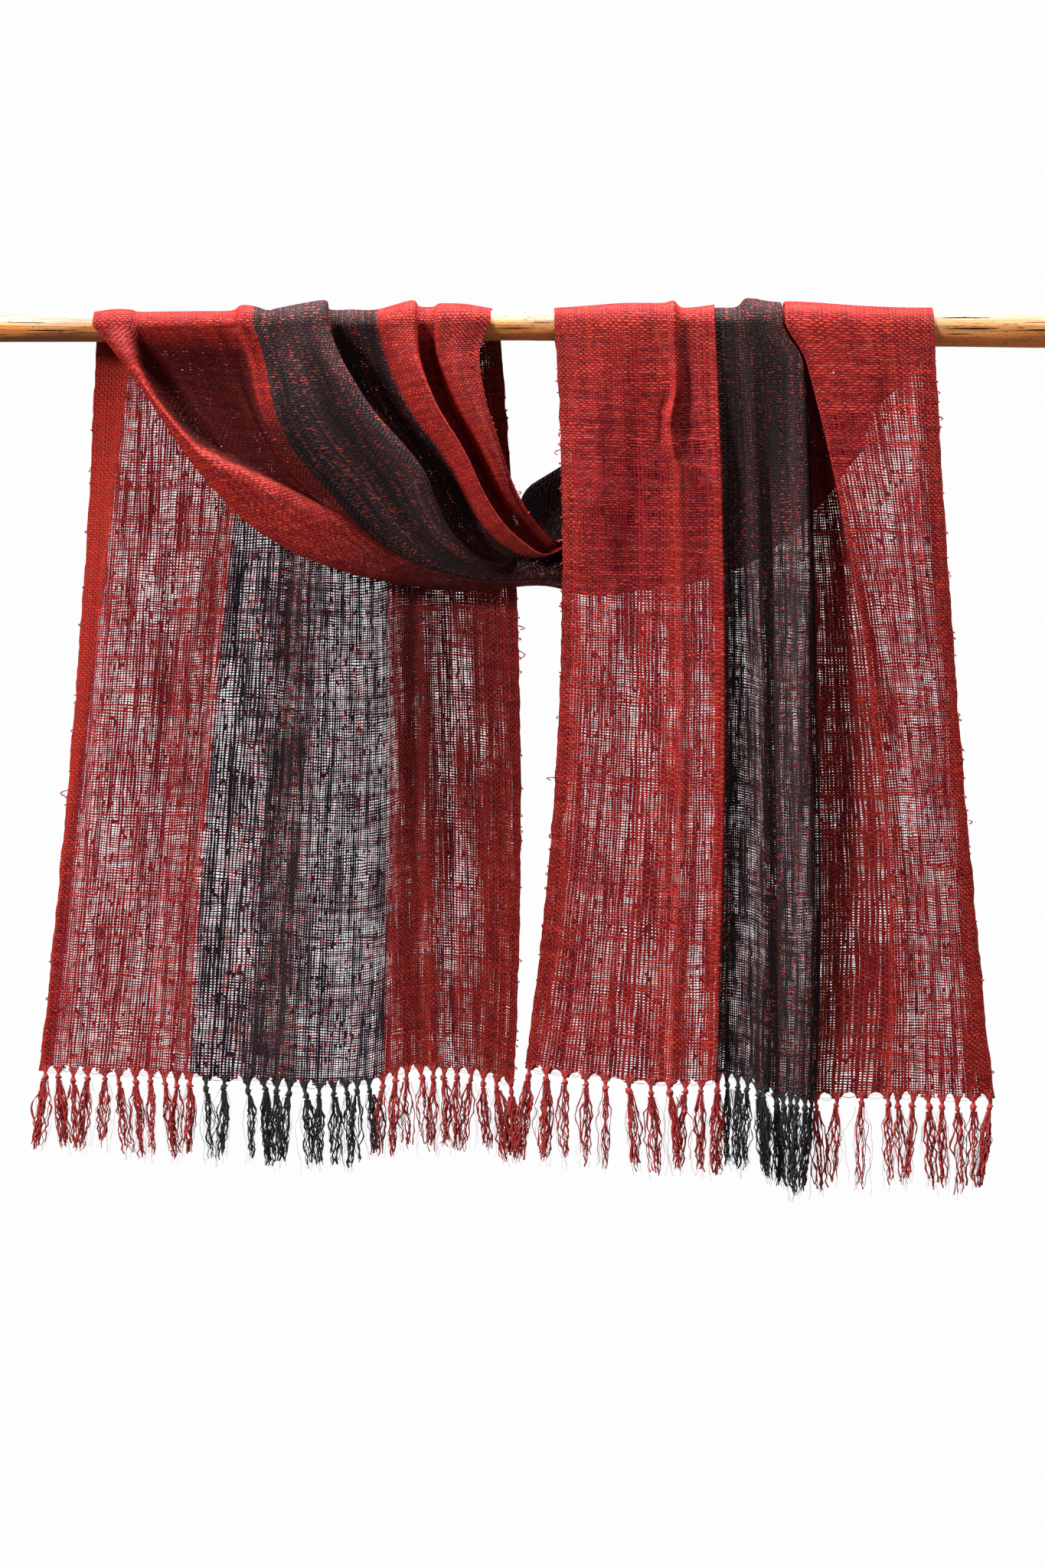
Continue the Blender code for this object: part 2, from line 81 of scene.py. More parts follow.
# sRGB hex to the linear colour that a shader takes
def colour(hexCode):
    parts = [int(hexCode[i:i + 2], 16) / 255 for i in (1, 3, 5)]
    return [p / 12.92 if p <= 0.04045 else ((p + 0.055) / 1.055) ** 2.4 for p in parts] + [1]


# Sets a node's inputs, each to a number, a colour or what it is linked from.
def setInputs(node, inputs):
    for name, value in inputs.items():
        if isinstance(value, bpy.types.Node):
            value = next(output for output in value.outputs if output.enabled)
        if isinstance(value, bpy.types.NodeSocket):
            node.id_data.links.new(value, node.inputs[name])
        else:
            node.inputs[name].default_value = value


# Adds a node with its settings. Its inputs come in the order in which the node shows them.
def addNode(tree, kind, *inputs, **settings):
    node = tree.nodes.new("ShaderNode" + kind)
    for name, value in settings.items():
        setattr(node, name, value)
    shown = [number for number, socket in enumerate(node.inputs) if socket.enabled]
    setInputs(node, dict(zip(shown, inputs)))
    return node


def newMaterial(name):
    material = bpy.data.materials.new(name)
    material.use_nodes = True
    return material, material.node_tree.nodes["Principled BSDF"], partial(addNode, material.node_tree)


# Noise with so many lumps to a unit along each axis
def stretchedNoise(add, place, lumpCounts, detail, roughness=0.5):
    scaled = add("VectorMath", place, lumpCounts, operation="MULTIPLY")
    return add("TexNoise", scaled, 1, detail, roughness)


def distanceFrom(add, value, middle):
    offset = add("Math", value, -middle, operation="ADD")
    return add("Math", offset, operation="ABSOLUTE")


def deselectAll():
    bpy.ops.object.select_all(action="DESELECT")


# The stick

stick = {
    # x, radius and rise of its middle
    "points": (
        (-530, 12.4, -1.4), (-500, 12.5, -1.4), (-391, 12.8, -1), (-200, 13.4, 0.5), (0, 14.1, 1.5),
        (200, 15.6, 0.4), (374, 17.2, -1.2), (500, 17.6, -1.8), (530, 17.6, -1.8),
    ),
    "sides": 56, "cuts": 100,
    "lump": 0.45, "endProud": 0.35,   # the saw cut's middle stands a little proud
    "endInset": 0.06,                 # as a share of the radius
    # x of both ends, height on the front as a share of the radius, width
    "cracks": (
        (374, 428, 0.44, 1.2), (380, 436, -0.14, 1.3), (444, 520, -0.2, 1.2), (384, 412, -0.44, 1),
        (-476, -432, 0.26, 1), (-456, -404, -0.3, 1.3), (-524, -484, -0.08, 1.2), (452, 496, 0.2, 0.8),
        (-26, 10, -0.3, 0.9), (6, 28, 0.05, 0.7),
    ),
    # for the wood's tones and their painted light and shade, in m: growth of the radius with x, radius at x =
    # 0 and height of the middle
    "thickness": (0.0049, 0.015), "middle": -0.0015,
    # height from the underside to the top and the colour there: the wood's tone with painted light and shade,
    # brightest in the middle and darker under and over it
    "paintedLightTones": ((0.18, "#CC7644"), (0.4, "#FF9F52"), (0.53, "#FFBA76"), (0.65, "#F4B484"), (0.76, "#C4AC92"),
              (0.83, "#B8A898"), (0.92, "#958A7F"), (1, "#857B72")),
    "stains": 0.8,   # how far stains shift those heights
    "brown": "#9C5626", "dark": "#33200F", "bark": "#7A5338",
    "barkFrom": (-0.34, -0.42), "barkBelow": 0.28,   # x in m, and the height under which bark is left
    # how many lumps to a metre along x, y and z, then the noise's detail and roughness
    "grain": ((14, 420, 420), 5, 0.6),   # fibres 2.4 mm wide and 70 mm long
    "broad": ((11, 70, 90), 3, 0.55),    # stains 90 mm long
    "pores": ((160, 900, 900), 2, 0.5),  # pores 1.1 mm wide and 6 mm long
    # from where each kind of mark starts to where it is full, and how strong it is at both
    "lines": (0.47, 0.6, 0, 0.5), "linesDown": (0.88, 0.53), "shreds": (0, 0.05, 0, 0.85),
    "specks": (0.6, 0.7, 0, 0.75),
    "crackDepth": 1.5,             # as many times the grain's relief
    "relief": (0.35, 0.0008),      # strength and depth in m
    "finish": {"Roughness": 0.8, "IOR": 1.5, "Specular IOR Level": 0.1},
}


def readStick(x, column):
    for start, end in zip(stick["points"], stick["points"][1:]):
        if x <= end[0]:
            break
    return mix(start[column], end[column], (x - start[0]) / (end[0] - start[0]))


def makeStick():
    first, last = stick["points"][0][0], stick["points"][-1][0]
    deselectAll()
    bpy.ops.mesh.primitive_cylinder_add(
        vertices=stick["sides"], radius=1, depth=2, end_fill_type="NGON", rotation=(0, math.pi / 2, 0))
    piece = bpy.context.object
    piece.name = "peeled_stick"
    bpy.ops.object.transform_apply(location=False, rotation=True, scale=False)
    # only the edges along the stick are cut
    bpy.ops.object.mode_set(mode="EDIT")
    bpy.ops.mesh.select_mode(type="EDGE")
    bpy.ops.mesh.select_all(action="DESELECT")
    bpy.ops.object.mode_set(mode="OBJECT")
    for edge in piece.data.edges:
        ends = [piece.data.vertices[i].co.x for i in edge.vertices]
        edge.select = abs(ends[0] - ends[1]) > 1
    bpy.ops.object.mode_set(mode="EDIT")
    bpy.ops.mesh.subdivide(number_cuts=stick["cuts"], quadcorner="INNERVERT")
    bpy.ops.mesh.select_mode(type="FACE")
    bpy.ops.mesh.select_all(action="DESELECT")
    bpy.ops.object.mode_set(mode="OBJECT")
    for face in piece.data.polygons:
        face.select = abs(face.normal.x) > 0.9
    bpy.ops.object.mode_set(mode="EDIT")
    bpy.ops.mesh.inset(thickness=stick["endInset"])
    bpy.ops.object.mode_set(mode="OBJECT")
    for vertex in piece.data.vertices:
        x = mix(first, last, 0.5 + 0.5 * vertex.co.x)
        angle = math.atan2(vertex.co.z, vertex.co.y)
        out = math.hypot(vertex.co.y, vertex.co.z)
        bump = lumps(x / 90, 40 * angle / 60, 3) + 0.5 * lumps(x / 30, 60 * angle / 40, 5)
        seam = smooth((math.pi - abs(angle)) / 0.5)   # the lumps close up round the back
        radius = readStick(x, 1) - stick["lump"] * (0.6 + bump * seam)
        if out < 0.99:
            x += math.copysign(stick["endProud"], x)
        y = radius * out * math.cos(angle)
        z = readStick(min(max(x, first), last), 2) + radius * out * math.sin(angle)
        vertex.co = Vector((x, y, z)) * mm
    deselectAll()
    piece.select_set(True)
    bpy.ops.object.shade_smooth_by_angle(angle=math.radians(40))
    piece.data.materials.append(makeWood())
    print(f"stick: {len(piece.data.polygons)} faces")
    return piece


# Where the long drying cracks open on the front, 1 in a crack and 0 beside it
def findCracks(add, at, grain):
    wobble = add("Math", grain, 0.0022, -0.0011, operation="MULTIPLY_ADD")
    crackZ = add("Math", at["Z"], wobble, operation="ADD")
    allCracks = 0
    for start, end, rise, width in stick["cracks"]:
        middleX = 0.5 * (start + end)
        z = (readStick(middleX, 2) + rise * readStick(middleX, 1)) * mm
        along = add("Math", at["X"], -middleX * mm, operation="ADD")
        share = add("Math", along, 2 / ((end - start) * mm), operation="MULTIPLY")
        taper = add("Math", share, share, operation="MULTIPLY")
        half = add("Math", taper, -0.5 * width * mm, 0.5 * width * mm, operation="MULTIPLY_ADD")
        inside = add("Math", distanceFrom(add, crackZ, z), half, operation="LESS_THAN")
        allCracks = add("Math", allCracks, inside, operation="MAXIMUM")
    front = add("Math", at["Y"], 0, operation="LESS_THAN")
    return add("Math", allCracks, front, operation="MULTIPLY")


# Peeled hardwood, dry and handled: straight brown grain, fine dark pores and long drying cracks.
def makeWood():
    material, shader, add = newMaterial("peeled hardwood")
    place = add("TexCoord").outputs["Object"]
    at = add("SeparateXYZ", place).outputs
    grain, broad, pores = [stretchedNoise(add, place, *stick[name]) for name in ("grain", "broad", "pores")]
    radius = add("Math", at["X"], *stick["thickness"], operation="MULTIPLY_ADD")
    overMiddle = add("Math", at["Z"], -stick["middle"], operation="ADD")
    level = add("Math", overMiddle, radius, operation="DIVIDE")
    height = add("MapRange", level, -1)
    stained = add("Math", broad, stick["stains"], -0.5 * stick["stains"], operation="MULTIPLY_ADD")
    tone = add("Math", height, stained, operation="ADD", use_clamp=True)
    # the wood's colour by height holds painted light and shade
    ramp = add("ValToRGB", tone)
    stops = ramp.color_ramp.elements
    stops.remove(stops[1])
    for number, (rise, tint) in enumerate(stick["paintedLightTones"]):
        stop = stops.new(rise) if number else stops[0]
        stop.position = rise
        stop.color = colour(tint)
    # brown grain lines, from the front down
    lines = add("MapRange", grain, *stick["lines"])
    lowDown = add("MapRange", height, *stick["linesDown"])
    linesHere = add("Math", lines, lowDown, operation="MULTIPLY")
    grained = add("Mix", linesHere, ramp, colour(stick["brown"]), data_type="RGBA")
    # shreds of dark bark are left on the underside of the thin end
    thinEnd = add("MapRange", at["X"], *stick["barkFrom"])
    under = add("Math", stick["barkBelow"], tone, operation="SUBTRACT")
    shreds = add("MapRange", under, *stick["shreds"])
    barkHere = add("Math", shreds, thinEnd, operation="MULTIPLY")
    barked = add("Mix", barkHere, grained, colour(stick["bark"]), data_type="RGBA")
    specks = add("MapRange", pores, *stick["specks"])
    spotted = add("Mix", specks, barked, colour(stick["dark"]), data_type="RGBA")
    cracks = findCracks(add, at, grain)
    cracked = add("Mix", cracks, spotted, colour(stick["dark"]), data_type="RGBA")
    depth = add("Math", cracks, -stick["crackDepth"], grain, operation="MULTIPLY_ADD")
    relief = add("Bump", *stick["relief"])
    setInputs(relief, {"Height": depth})
    setInputs(shader, {"Base Color": cracked, "Normal": relief, **stick["finish"]})
    return material


# The scarf

scarf = {
    "cutWidth": 458, "cutLength": 2090,   # the flat cloth, in mm
    "columns": 240, "backRows": 122, "crestRows": 14, "swagRows": 122, "frontRows": 126,
    # along the swag, outer x and z, middle x and z, inner x and z, hang behind the stick's middle
    "swagSections": (
        (0, -391, 0, -210, 0, -29, 0, -14),
        (0.08, -373, -23, -196, -36, -39, -25, -16.5),
        (0.18, -340, -69, -175, -83, -34, -65, -18),
        (0.28, -294, -135, -145, -123, -23, -101, -17),
        (0.36, -236, -191, -107, -160, -11, -138, -14),
        (0.43, -156, -226, -63, -191, 1, -163, -9.5),
        (0.5, -58, -241, -19, -211, 14, -181, -4),
        (0.56, 16, -236, 18, -219, 33, -196, -0.5),
        (0.63, 82, -244, 60, -205, 48, -165, 5),
        (0.75, 215, -212, 138, -149, 42, -93, 11),
        (0.88, 304, -118, 191, -65, 37, -37, 15),
        (0.94, 288, -58, 190, -33, 33, -18, 16),
        (1, 374, 0, 201, 0, 29, 0, 17),
    ),
    # across, share and lift on the stick, share and rise at the middle, share and rise in the bunch,
    # how much of the lobe's shift the fold takes and how far it goes behind the others there
    "swagFolds": (
        (0, 0, 2, 0, -6, 0, -7, 0, 0),
        (0.04, 0.05, 4.2, 0.02, -6, 0.014, -6.5, 0, 0),
        (0.075, 0.092, 3.6, 0.045, -8, 0.028, -6, 0, 0),
        (0.1, 0.112, 1.6, 0.09, -9, 0.05, -4, 0, 0),
        (0.15, 0.18, 1.6, 0.165, -9, 0.078, -2.5, 0, 0),
        (0.2, 0.26, 1.6, 0.215, -10, 0.098, -1.5, 0, 0),
        (0.26, 0.345, 1.8, 0.255, -9.5, 0.115, 0, 0, 0),
        (0.285, 0.37, 6.5, 0.28, -5.5, 0.13, 1.5, 0, 2),
        (0.31, 0.404, 5.5, 0.312, -2, 0.15, 2.5, 0, 5.5),
        (0.345, 0.437, 1.8, 0.368, 1, 0.185, 3.5, 0.05, 9.5),
        (0.37, 0.462, 3.5, 0.43, 3, 0.22, 4.5, 0.15, 13.5),
        (0.43, 0.53, 8, 0.545, 7, 0.29, 5.5, 0.6, 18.5),
        (0.5, 0.584, 10, 0.66, 9.5, 0.38, 6.5, 1, 19.5),
        (0.525, 0.594, 2, 0.658, -7.5, 0.415, 0, 1, 13.5),
        (0.6, 0.65, 1.6, 0.7, -11, 0.5, -4, 0.55, 6.5),
        (0.69, 0.714, 1.6, 0.765, -4.5, 0.61, -1, 0.15, 2),
        (0.78, 0.8, 9.5, 0.845, 9, 0.73, 7.5, 0, 0),
        (0.815, 0.82, 4, 0.85, -5.5, 0.77, 0, 0, 0),
        (0.86, 0.856, 3.6, 0.885, -9, 0.815, -4, 0, 0),
        (0.885, 0.872, 6.5, 0.918, 1, 0.87, -3.5, 0, 0),
        (0.94, 0.93, 6, 0.96, 4, 0.935, -1, 0, 0),
        (0.975, 0.966, 4, 0.986, 2, 0.975, -0.5, 0, 0),
        (1, 1, 1.8, 1, 1.8, 1, 2.5, 0, 0),
    ),
    "swagMiddle": 0.3, "swagBunch": 0.53, "swagRear": 0.8, "rearRise": 0.3, "rearBlend": 0.86,
    "frontFade": 0.12,
    # the rolled lower edge: place along the swag, share across that it takes up; then rises across it
    "rollEdge": ((0, 0.078), (0.06, 0.06), (0.12, 0.042), (0.19, 0.044), (0.25, 0.098), (0.3, 0.18),
                 (0.36, 0.3), (0.45, 0.31)),
    "rollRises": ((0, -5), (0.3, 3.6), (0.6, 7), (0.85, 5.5), (1, 2.5), (1.3, -3)),
    "rollFade": (0.36, 0.52),
    "lobeX": -46, "lobeZ": 68, "lobe": (0.5, 0.63, 0.66, 0.84), "lobeBack": (0.45, 0.58, 0.86, 0.94),
    # across, x and lift on the stick, x and rise at the middle, x, rise and z at the hem
    "frontFolds": (
        (0, 374, 1.6, 397, -1.5, 428, -0.5, -703),
        (0.06, 345, 1.8, 377, 0, 401, 0.5, -706),
        (0.12, 306, 3.5, 355, 1.5, 373, 0.5, -705),
        (0.175, 263, 6.5, 334, 1.5, 350, 0.5, -704),
        (0.208, 239, 7, 319, 3.5, 333, 1.8, -704),
        (0.222, 243, 2.6, 323, -4, 330, -2, -704),
        (0.265, 238, 1.8, 295, -9, 296, -4.5, -704),
        (0.31, 237, 1.8, 269, -9.5, 267, -5, -705),
        (0.328, 236, 2, 263, -7, 262, -4, -705),
        (0.34, 236, 6, 261, 3, 261, 1.5, -706),
        (0.385, 229, 7, 252, 5, 252, 2.5, -706),
        (0.44, 221, 8, 241, 1, 241, 0, -705),
        (0.48, 214, 9.5, 229, -2.5, 230, -2, -704),
        (0.505, 209, 10, 232, -3.5, 233, -2, -703),
        (0.54, 203, 9.5, 219, 0, 220, 0.5, -699),
        (0.58, 198, 4, 212, -2, 211, -1, -693),
        (0.62, 193, 1.8, 202, -3.5, 199, -2.5, -688),
        (0.67, 182, 1.6, 188, -4.5, 184, -3, -685),
        (0.685, 172, 1.8, 178, -1.8, 178, -1.5, -687),
        (0.7, 175, 4.4, 184, 2.4, 175, 1.5, -690),
        (0.712, 168, 3.4, 173, 1.4, 166, 0.8, -692),
        (0.757, 146, 1.8, 152, 0.8, 145, 0.3, -693),
        (0.774, 138, 8, 145, 1.2, 136, 0.6, -693),
        (0.8, 127, 6, 134, 0, 122, -0.5, -692),
        (0.86, 92, 6, 98, -1, 80, 0.5, -688),
        (0.93, 57, 3.5, 66, 1, 37, -0.5, -684),
        (1, 29, 1.6, 33, 0, 2, 0, -676),
    ),
    # how far down a fall the folds' swing is full and where it ends; across, then how far they swing to
    # the right, in mm
    "swingDown": (0.05, 0.5),
    "frontSwing": (
        (0, 0), (0.1, 0), (0.175, 6), (0.208, 9), (0.222, 10), (0.27, 14), (0.33, 17), (0.385, 17),
        (0.44, 13), (0.48, 8), (0.54, 2), (0.6, 0), (1, 0)),
    # across, x and rise at the middle, x, rise and z at the hem
    "backFolds": (
        (0, -414, 5, -445, 2.5, -682),
        (0.035, -399, 2, -430, 1, -683),
        (0.07, -384, -0.5, -414, 0, -684),
        (0.15, -345, -1, -376, 0, -686),
        (0.26, -299, -0.5, -326, -1, -688),
        (0.285, -292, -0.1, -316, -0.2, -689),
        (0.31, -283, -0.6, -306, -0.4, -690),
        (0.37, -249, 0, -272, 0.5, -692),
        (0.4, -231, -0.8, -252, -0.4, -694),
        (0.43, -219, 0.9, -237, 0.6, -695),
        (0.465, -206, -0.6, -221, -0.3, -696),
        (0.56, -169, 0.5, -180, 0.5, -698),
        (0.66, -132, 0.5, -142, -0.3, -694),
        (0.735, -113, -0.9, -113, -0.5, -685),
        (0.78, -98, 1, -94, 0.7, -682),
        (0.815, -86, -0.7, -79, -0.5, -682),
        (0.91, -43, 1, -43, 0.5, -686),
        (1, -2, 0, -8, 0, -696),
    ),
    "fallMiddle": 0.52, "liftFade": 0.3, "frontClear": 6.5, "backClear": 5.5,
    "backSpread": 8, "spreadFrom": 0.8,
    # fine creases: stretch, across and share down of both ends, half width and rise in mm
    "creases": (
        ("front", 0.778, 0.05, 0.776, 0.13, 4, 3.6), ("front", 0.776, 0.12, 0.774, 0.17, 4, 3),
        ("front", 0.752, 0.06, 0.75, 0.17, 4, -2.6), ("front", 0.8, 0.1, 0.804, 0.16, 4, -2.2),
        ("front", 0.735, 0.05, 0.7, 0.24, 5, 2.6), ("front", 0.735, 0.185, 0.715, 0.215, 3, 3.2),
        ("front", 0.835, 0.02, 0.85, 0.3, 8, -1.6), ("front", 0.905, 0.04, 0.93, 0.26, 7, 1.4),
        ("front", 0.18, 0.02, 0.15, 0.22, 8, 2.2), ("front", 0.09, 0.04, 0.11, 0.3, 7, -1.8),
        ("front", 0.045, 0.05, 0.06, 0.35, 5, 1.6), ("front", 0.355, 0.25, 0.35, 0.9, 5, 1.6),
        ("front", 0.9, 0.2, 0.88, 0.65, 9, 1.5), ("front", 0.2, 0.3, 0.17, 0.95, 8, 1.6),
        ("back", 0.19, 0.3, 0.2, 0.95, 8, 2), ("back", 0.34, 0.25, 0.345, 0.9, 6, 1.8),
        ("back", 0.52, 0.2, 0.515, 0.85, 7, -1.9), ("back", 0.61, 0.3, 0.6, 0.95, 6, 2),
        ("back", 0.7, 0.2, 0.69, 0.8, 5, -1.8), ("back", 0.87, 0.15, 0.86, 0.9, 6, 2),
        ("back", 0.035, 0.3, 0.03, 0.95, 5, 1.4),
        ("swag", 0.125, 0.1, 0.13, 0.4, 5, 1.4), ("swag", 0.235, 0.05, 0.245, 0.42, 5, 1.2),
        ("swag", 0.355, 0.05, 0.35, 0.4, 4, 1.6), ("swag", 0.415, 0.05, 0.42, 0.42, 10, -3.6),
        ("swag", 0.465, 0.1, 0.47, 0.42, 5, 1.6), ("swag", 0.64, 0.05, 0.65, 0.36, 6, 1.4),
        ("swag", 0.73, 0.05, 0.735, 0.4, 4, 1.4), ("swag", 0.91, 0.1, 0.915, 0.45, 3, 1),
    ),
    "relief": 1.6, "softWave": 1.3,   # what the folds' rises are multiplied by, and how far soft waves go
    # the wavering selvedges: how far, lengths of the waves and share of the width that they take up
    "edgeWave": 1.1, "waverSizes": (16, 6), "waverEdge": 0.03,
    # across, then how close the weave is there, from 0 to 1
    "close": {
        "back": (
            (0, 0.3), (0.1, 0.14), (0.25, 0.28), (0.285, 0.4), (0.315, 0.24), (0.33, 0.18), (0.38, 0.22),
            (0.42, 0.46), (0.47, 0.48), (0.51, 0.2), (0.6, 0.12), (0.66, 0.14), (0.69, 0.36), (0.735, 0.6),
            (0.78, 0.88), (0.81, 0.65), (0.84, 0.34), (0.9, 0.38), (0.94, 0.72), (1, 0.88)),
        "swag": (
            (0, 0.9), (0.08, 0.82), (0.11, 0.62), (0.23, 0.6), (0.27, 0.8), (0.35, 0.9), (0.52, 0.9),
            (0.56, 0.66), (0.64, 0.66), (0.68, 0.9), (1, 0.9)),
        "front": (
            (0, 0.9), (0.022, 0.85), (0.05, 0.35), (0.1, 0.22), (0.17, 0.26), (0.195, 0.5), (0.21, 0.7),
            (0.23, 0.46), (0.25, 0.48), (0.29, 0.5), (0.31, 0.55), (0.33, 0.8), (0.345, 0.72), (0.37, 0.52),
            (0.43, 0.54), (0.47, 0.6), (0.52, 0.8), (0.55, 0.6), (0.58, 0.46), (0.645, 0.38), (0.67, 0.8),
            (0.685, 0.88), (0.705, 0.88), (0.718, 0.35), (0.735, 0.22), (0.752, 0.35), (0.768, 0.66),
            (0.79, 0.55), (0.82, 0.36), (0.9, 0.28), (0.955, 0.4), (0.975, 0.8), (1, 0.88)),
    },
    # across, then how much painted shade darkens the cloth there, for the light its own hollows keep off it
    "paintedShade": {
        "swag": (
            (0, 1.1), (0.26, 1.1), (0.3, 1.1), (0.335, 0.8), (0.365, 0), (0.385, 0), (0.41, 0.75),
            (0.435, 0.7), (0.465, 0), (0.505, 0), (0.53, 0.35), (0.62, 0.3), (0.68, 0.25), (0.73, 0),
            (0.79, 0), (0.82, 0.6), (0.87, 0.5), (0.9, 0), (0.94, 0), (1, 0.1)),
        "back": (
            (0, 0), (0.06, 0), (0.1, 0.15), (0.28, 0.2), (0.33, 0), (0.6, 0.1), (0.69, 0.6),
            (0.76, 0.95), (0.82, 0.9), (0.9, 0.7), (1, 0.5)),
        "front": (
            (0, 0.15), (0.05, 0), (0.2, 0), (0.225, 0.85), (0.3, 1), (0.325, 1), (0.345, 0.1),
            (0.385, 0.05), (0.42, 0.45), (0.48, 0.7), (0.6, 0.75), (0.66, 0.9), (0.685, 0.15),
            (0.73, 0.1), (0.765, 0.35), (0.775, 0), (1, 0.05)),
    },
    "closeAtStick": 0.62, "closeDown": {"back": 0.13, "front": 0.17},   # and how far down a fall it is closer
    # the left edge behind is doubled over: its width at the top and further down, and how far down that is
    "turnedIn": (34, 5, 0.75),
    # where the pinched fold of the front is, across and down, and how far it shifts to the left
    "pinch": ((0.73, 0.765, 0.785, 0.83), (0.08, 0.13, 0.145, 0.2), 6.5),
    # soft waves of a fall: its length, a wave's size across and down, seed, and where down it they are full
    "fallWaves": {"back": (690, 55, 160, 1, 0.25), "front": (700, 50, 150, 2, 0.12)},
    "fallLength": 700, "columnWidth": 1.9,   # what other patterns on the falls go by
    "weavePatch": (14, 60, 0.7),   # size across and down of closer patches, and how much closer
    "swagFree": (0.02, 0.14, 0.5, 0.6),   # where along the swag its creases show
    # where along the swag its hollows get painted shade, where across the lit red ridge is that this spares,
    # and where along it sinks
    "swagPaintedShade": (0.01, 0.08, 0.45, 0.55), "ridge": (0.26, 0.28, 0.32, 0.35), "ridgeSinks": (0.12, 0.24),
    # the roll's lit part as shares of its width, which painted shade spares; the painted shade of what is
    # tucked behind it (along and across); the bunch's painted shade with where along the swag it starts and
    # over how much it grows
    "rollReach": 0.4, "rollLit": (0.74, 0.36), "tuckedPaintedShade": (0.38, 0.1, 0.36, 0.03),
    "bunchPaintedShade": (0.6, 0.36, 0.2),
    # how much of a fall's painted shade is lost further down, from where and over how much, and the swag's
    # painted shadow
    "paintedShadeFades": {"back": (0.5, 0.45, 0.4), "front": (0.45, 0.15, 0.2)}, "swagPaintedShadow": (0.45, 0.13),
    # how far a thread turns away before the weave looks closer, and how close it gets
    "turnedAway": (0.8, 0.5, 0.9),
}


# x and lift where a fold crosses the stick at the left
def leftCrest(fold):
    first = scarf["swagSections"][0]
    return mix(first[1], first[5], fold[0]), fold[1]


# A place on the stick's round, from angle 0 behind over the top to the front
def overStick(x, lift, angle):
    radius = readStick(x, 1) + lift
    return Vector((x, radius * math.cos(angle), readStick(x, 2) + radius * math.sin(angle)))


# A place of the swag, from the front of the stick down, through the bunch and up behind the stick to end
def swagPoint(across, along, fold, section, end):
    middle, bunch, rear = scarf["swagMiddle"], scarf["swagBunch"], scarf["swagRear"]
    if along < middle:
        ease = smooth(along / middle)
        share, rise = mix(fold[0], fold[2], ease), fold[3]
    elif along < bunch:
        ease = smooth((along - middle) / (bunch - middle))
        share, rise = mix(fold[2], fold[4], ease), mix(fold[3], fold[5], ease)
    else:
        ease = smooth((along - bunch) / (rear - bunch))
        share, rise = mix(fold[4], across, ease), mix(fold[5], scarf["rearRise"] * fold[5], ease)
    if across < scarf["rollReach"] and along < scarf["rollFade"][1]:
        edge = readTable(scarf["rollEdge"], along)[0]
        onRoll = 1 - smooth((across - edge) / 0.04 + 0.5)
        fadeFrom, fadeTo = scarf["rollFade"]
        onRoll *= 1 - smooth((along - fadeFrom) / (fadeTo - fadeFrom))
        rise = mix(rise, readTable(scarf["rollRises"], min(across / edge, 1.3))[0], onRoll)
    rise *= scarf["relief"]
    bow = 4 * share * (1 - share)
    x = mix(section[0], section[4], share) + bow * (section[2] - 0.5 * (section[0] + section[4]))
    z = mix(section[1], section[5], share) + bow * (section[3] - 0.5 * (section[1] + section[5]))
    stickX, lift = leftCrest(fold)
    near = 1 - smooth(along / scarf["frontFade"])
    y = mix(section[6] - rise, -readStick(stickX, 1) - lift, near)
    z += near * readStick(stickX, 2)
    lobe = fold[6] * hump(along, *scarf["lobe"])
    x += lobe * scarf["lobeX"]
    z += lobe * scarf["lobeZ"]
    y += fold[7] * hump(along, *scarf["lobeBack"])
    near = smooth((along - scarf["rearBlend"]) / (1 - scarf["rearBlend"]))
    x = mix(x, end[0], near)
    y = mix(y, readStick(end[0], 1) + end[1], near)
    z += near * readStick(end[0], 2)
    return Vector((x, y, z))


# A place of a fall. Side is -1 in front of the stick and 1 behind it.
def fallPoint(side, down, top, lift, middleX, middleRise, hemX, hemRise, hemZ):
    part = scarf["fallMiddle"]
    first = (middleX - top) / part
    second = (hemX - middleX) / (1 - part)
    x = top + first * down + (second - first) * down * (down - part)
    z = mix(readStick(top, 2), hemZ, down)
    below = smooth((down - part) / (1 - part))
    hang = scarf["frontClear" if side < 0 else "backClear"]
    hang += scarf["relief"] * mix(middleRise, hemRise, below)
    lift = mix(lift, hang, smooth(down / scarf["liftFade"]))
    return Vector((x, side * (readStick(top, 1) + lift), z))


# The folds' values for one thread of the warp, read once for its whole length
def readThread(across):
    thread = {"across": across, "swag": readTable(scarf["swagFolds"], across)}
    thread["front"] = readTable(scarf["frontFolds"], across)
    thread["back"] = readTable(scarf["backFolds"], across)
    thread["swing"] = readTable(scarf["frontSwing"], across)[0]
    wide = smooth((across - scarf["spreadFrom"]) / (1 - scarf["spreadFrom"]))
    thread["spread"] = scarf["backSpread"] * wide
    return thread


def frontPoint(thread, down):
    point = fallPoint(-1, down, *thread["front"])
    full, end = scarf["swingDown"]
    point.x += thread["swing"] * smooth(down / full) * max(0, 1 - down / end)
    across, along, shift = scarf["pinch"]
    point.x -= shift * hump(thread["across"], *across) * hump(down, *along)
    return point


def backPoint(thread, down):
    x, lift = leftCrest(thread["swag"])
    return fallPoint(1, down, x + thread["spread"], lift, *thread["back"])


# Rows of the scarf from the hem behind the stick to the hem in front: stretch and place in it
def listRows():
    rows = [("back", 1 - i / scarf["backRows"]) for i in range(scarf["backRows"])]
    rows += [("left", math.pi * i / scarf["crestRows"]) for i in range(scarf["crestRows"])]
    rows += [("swag", i / scarf["swagRows"]) for i in range(scarf["swagRows"])]
    rows += [("right", math.pi * i / scarf["crestRows"]) for i in range(scarf["crestRows"])]
    return rows + [("front", i / scarf["frontRows"]) for i in range(scarf["frontRows"] + 1)]


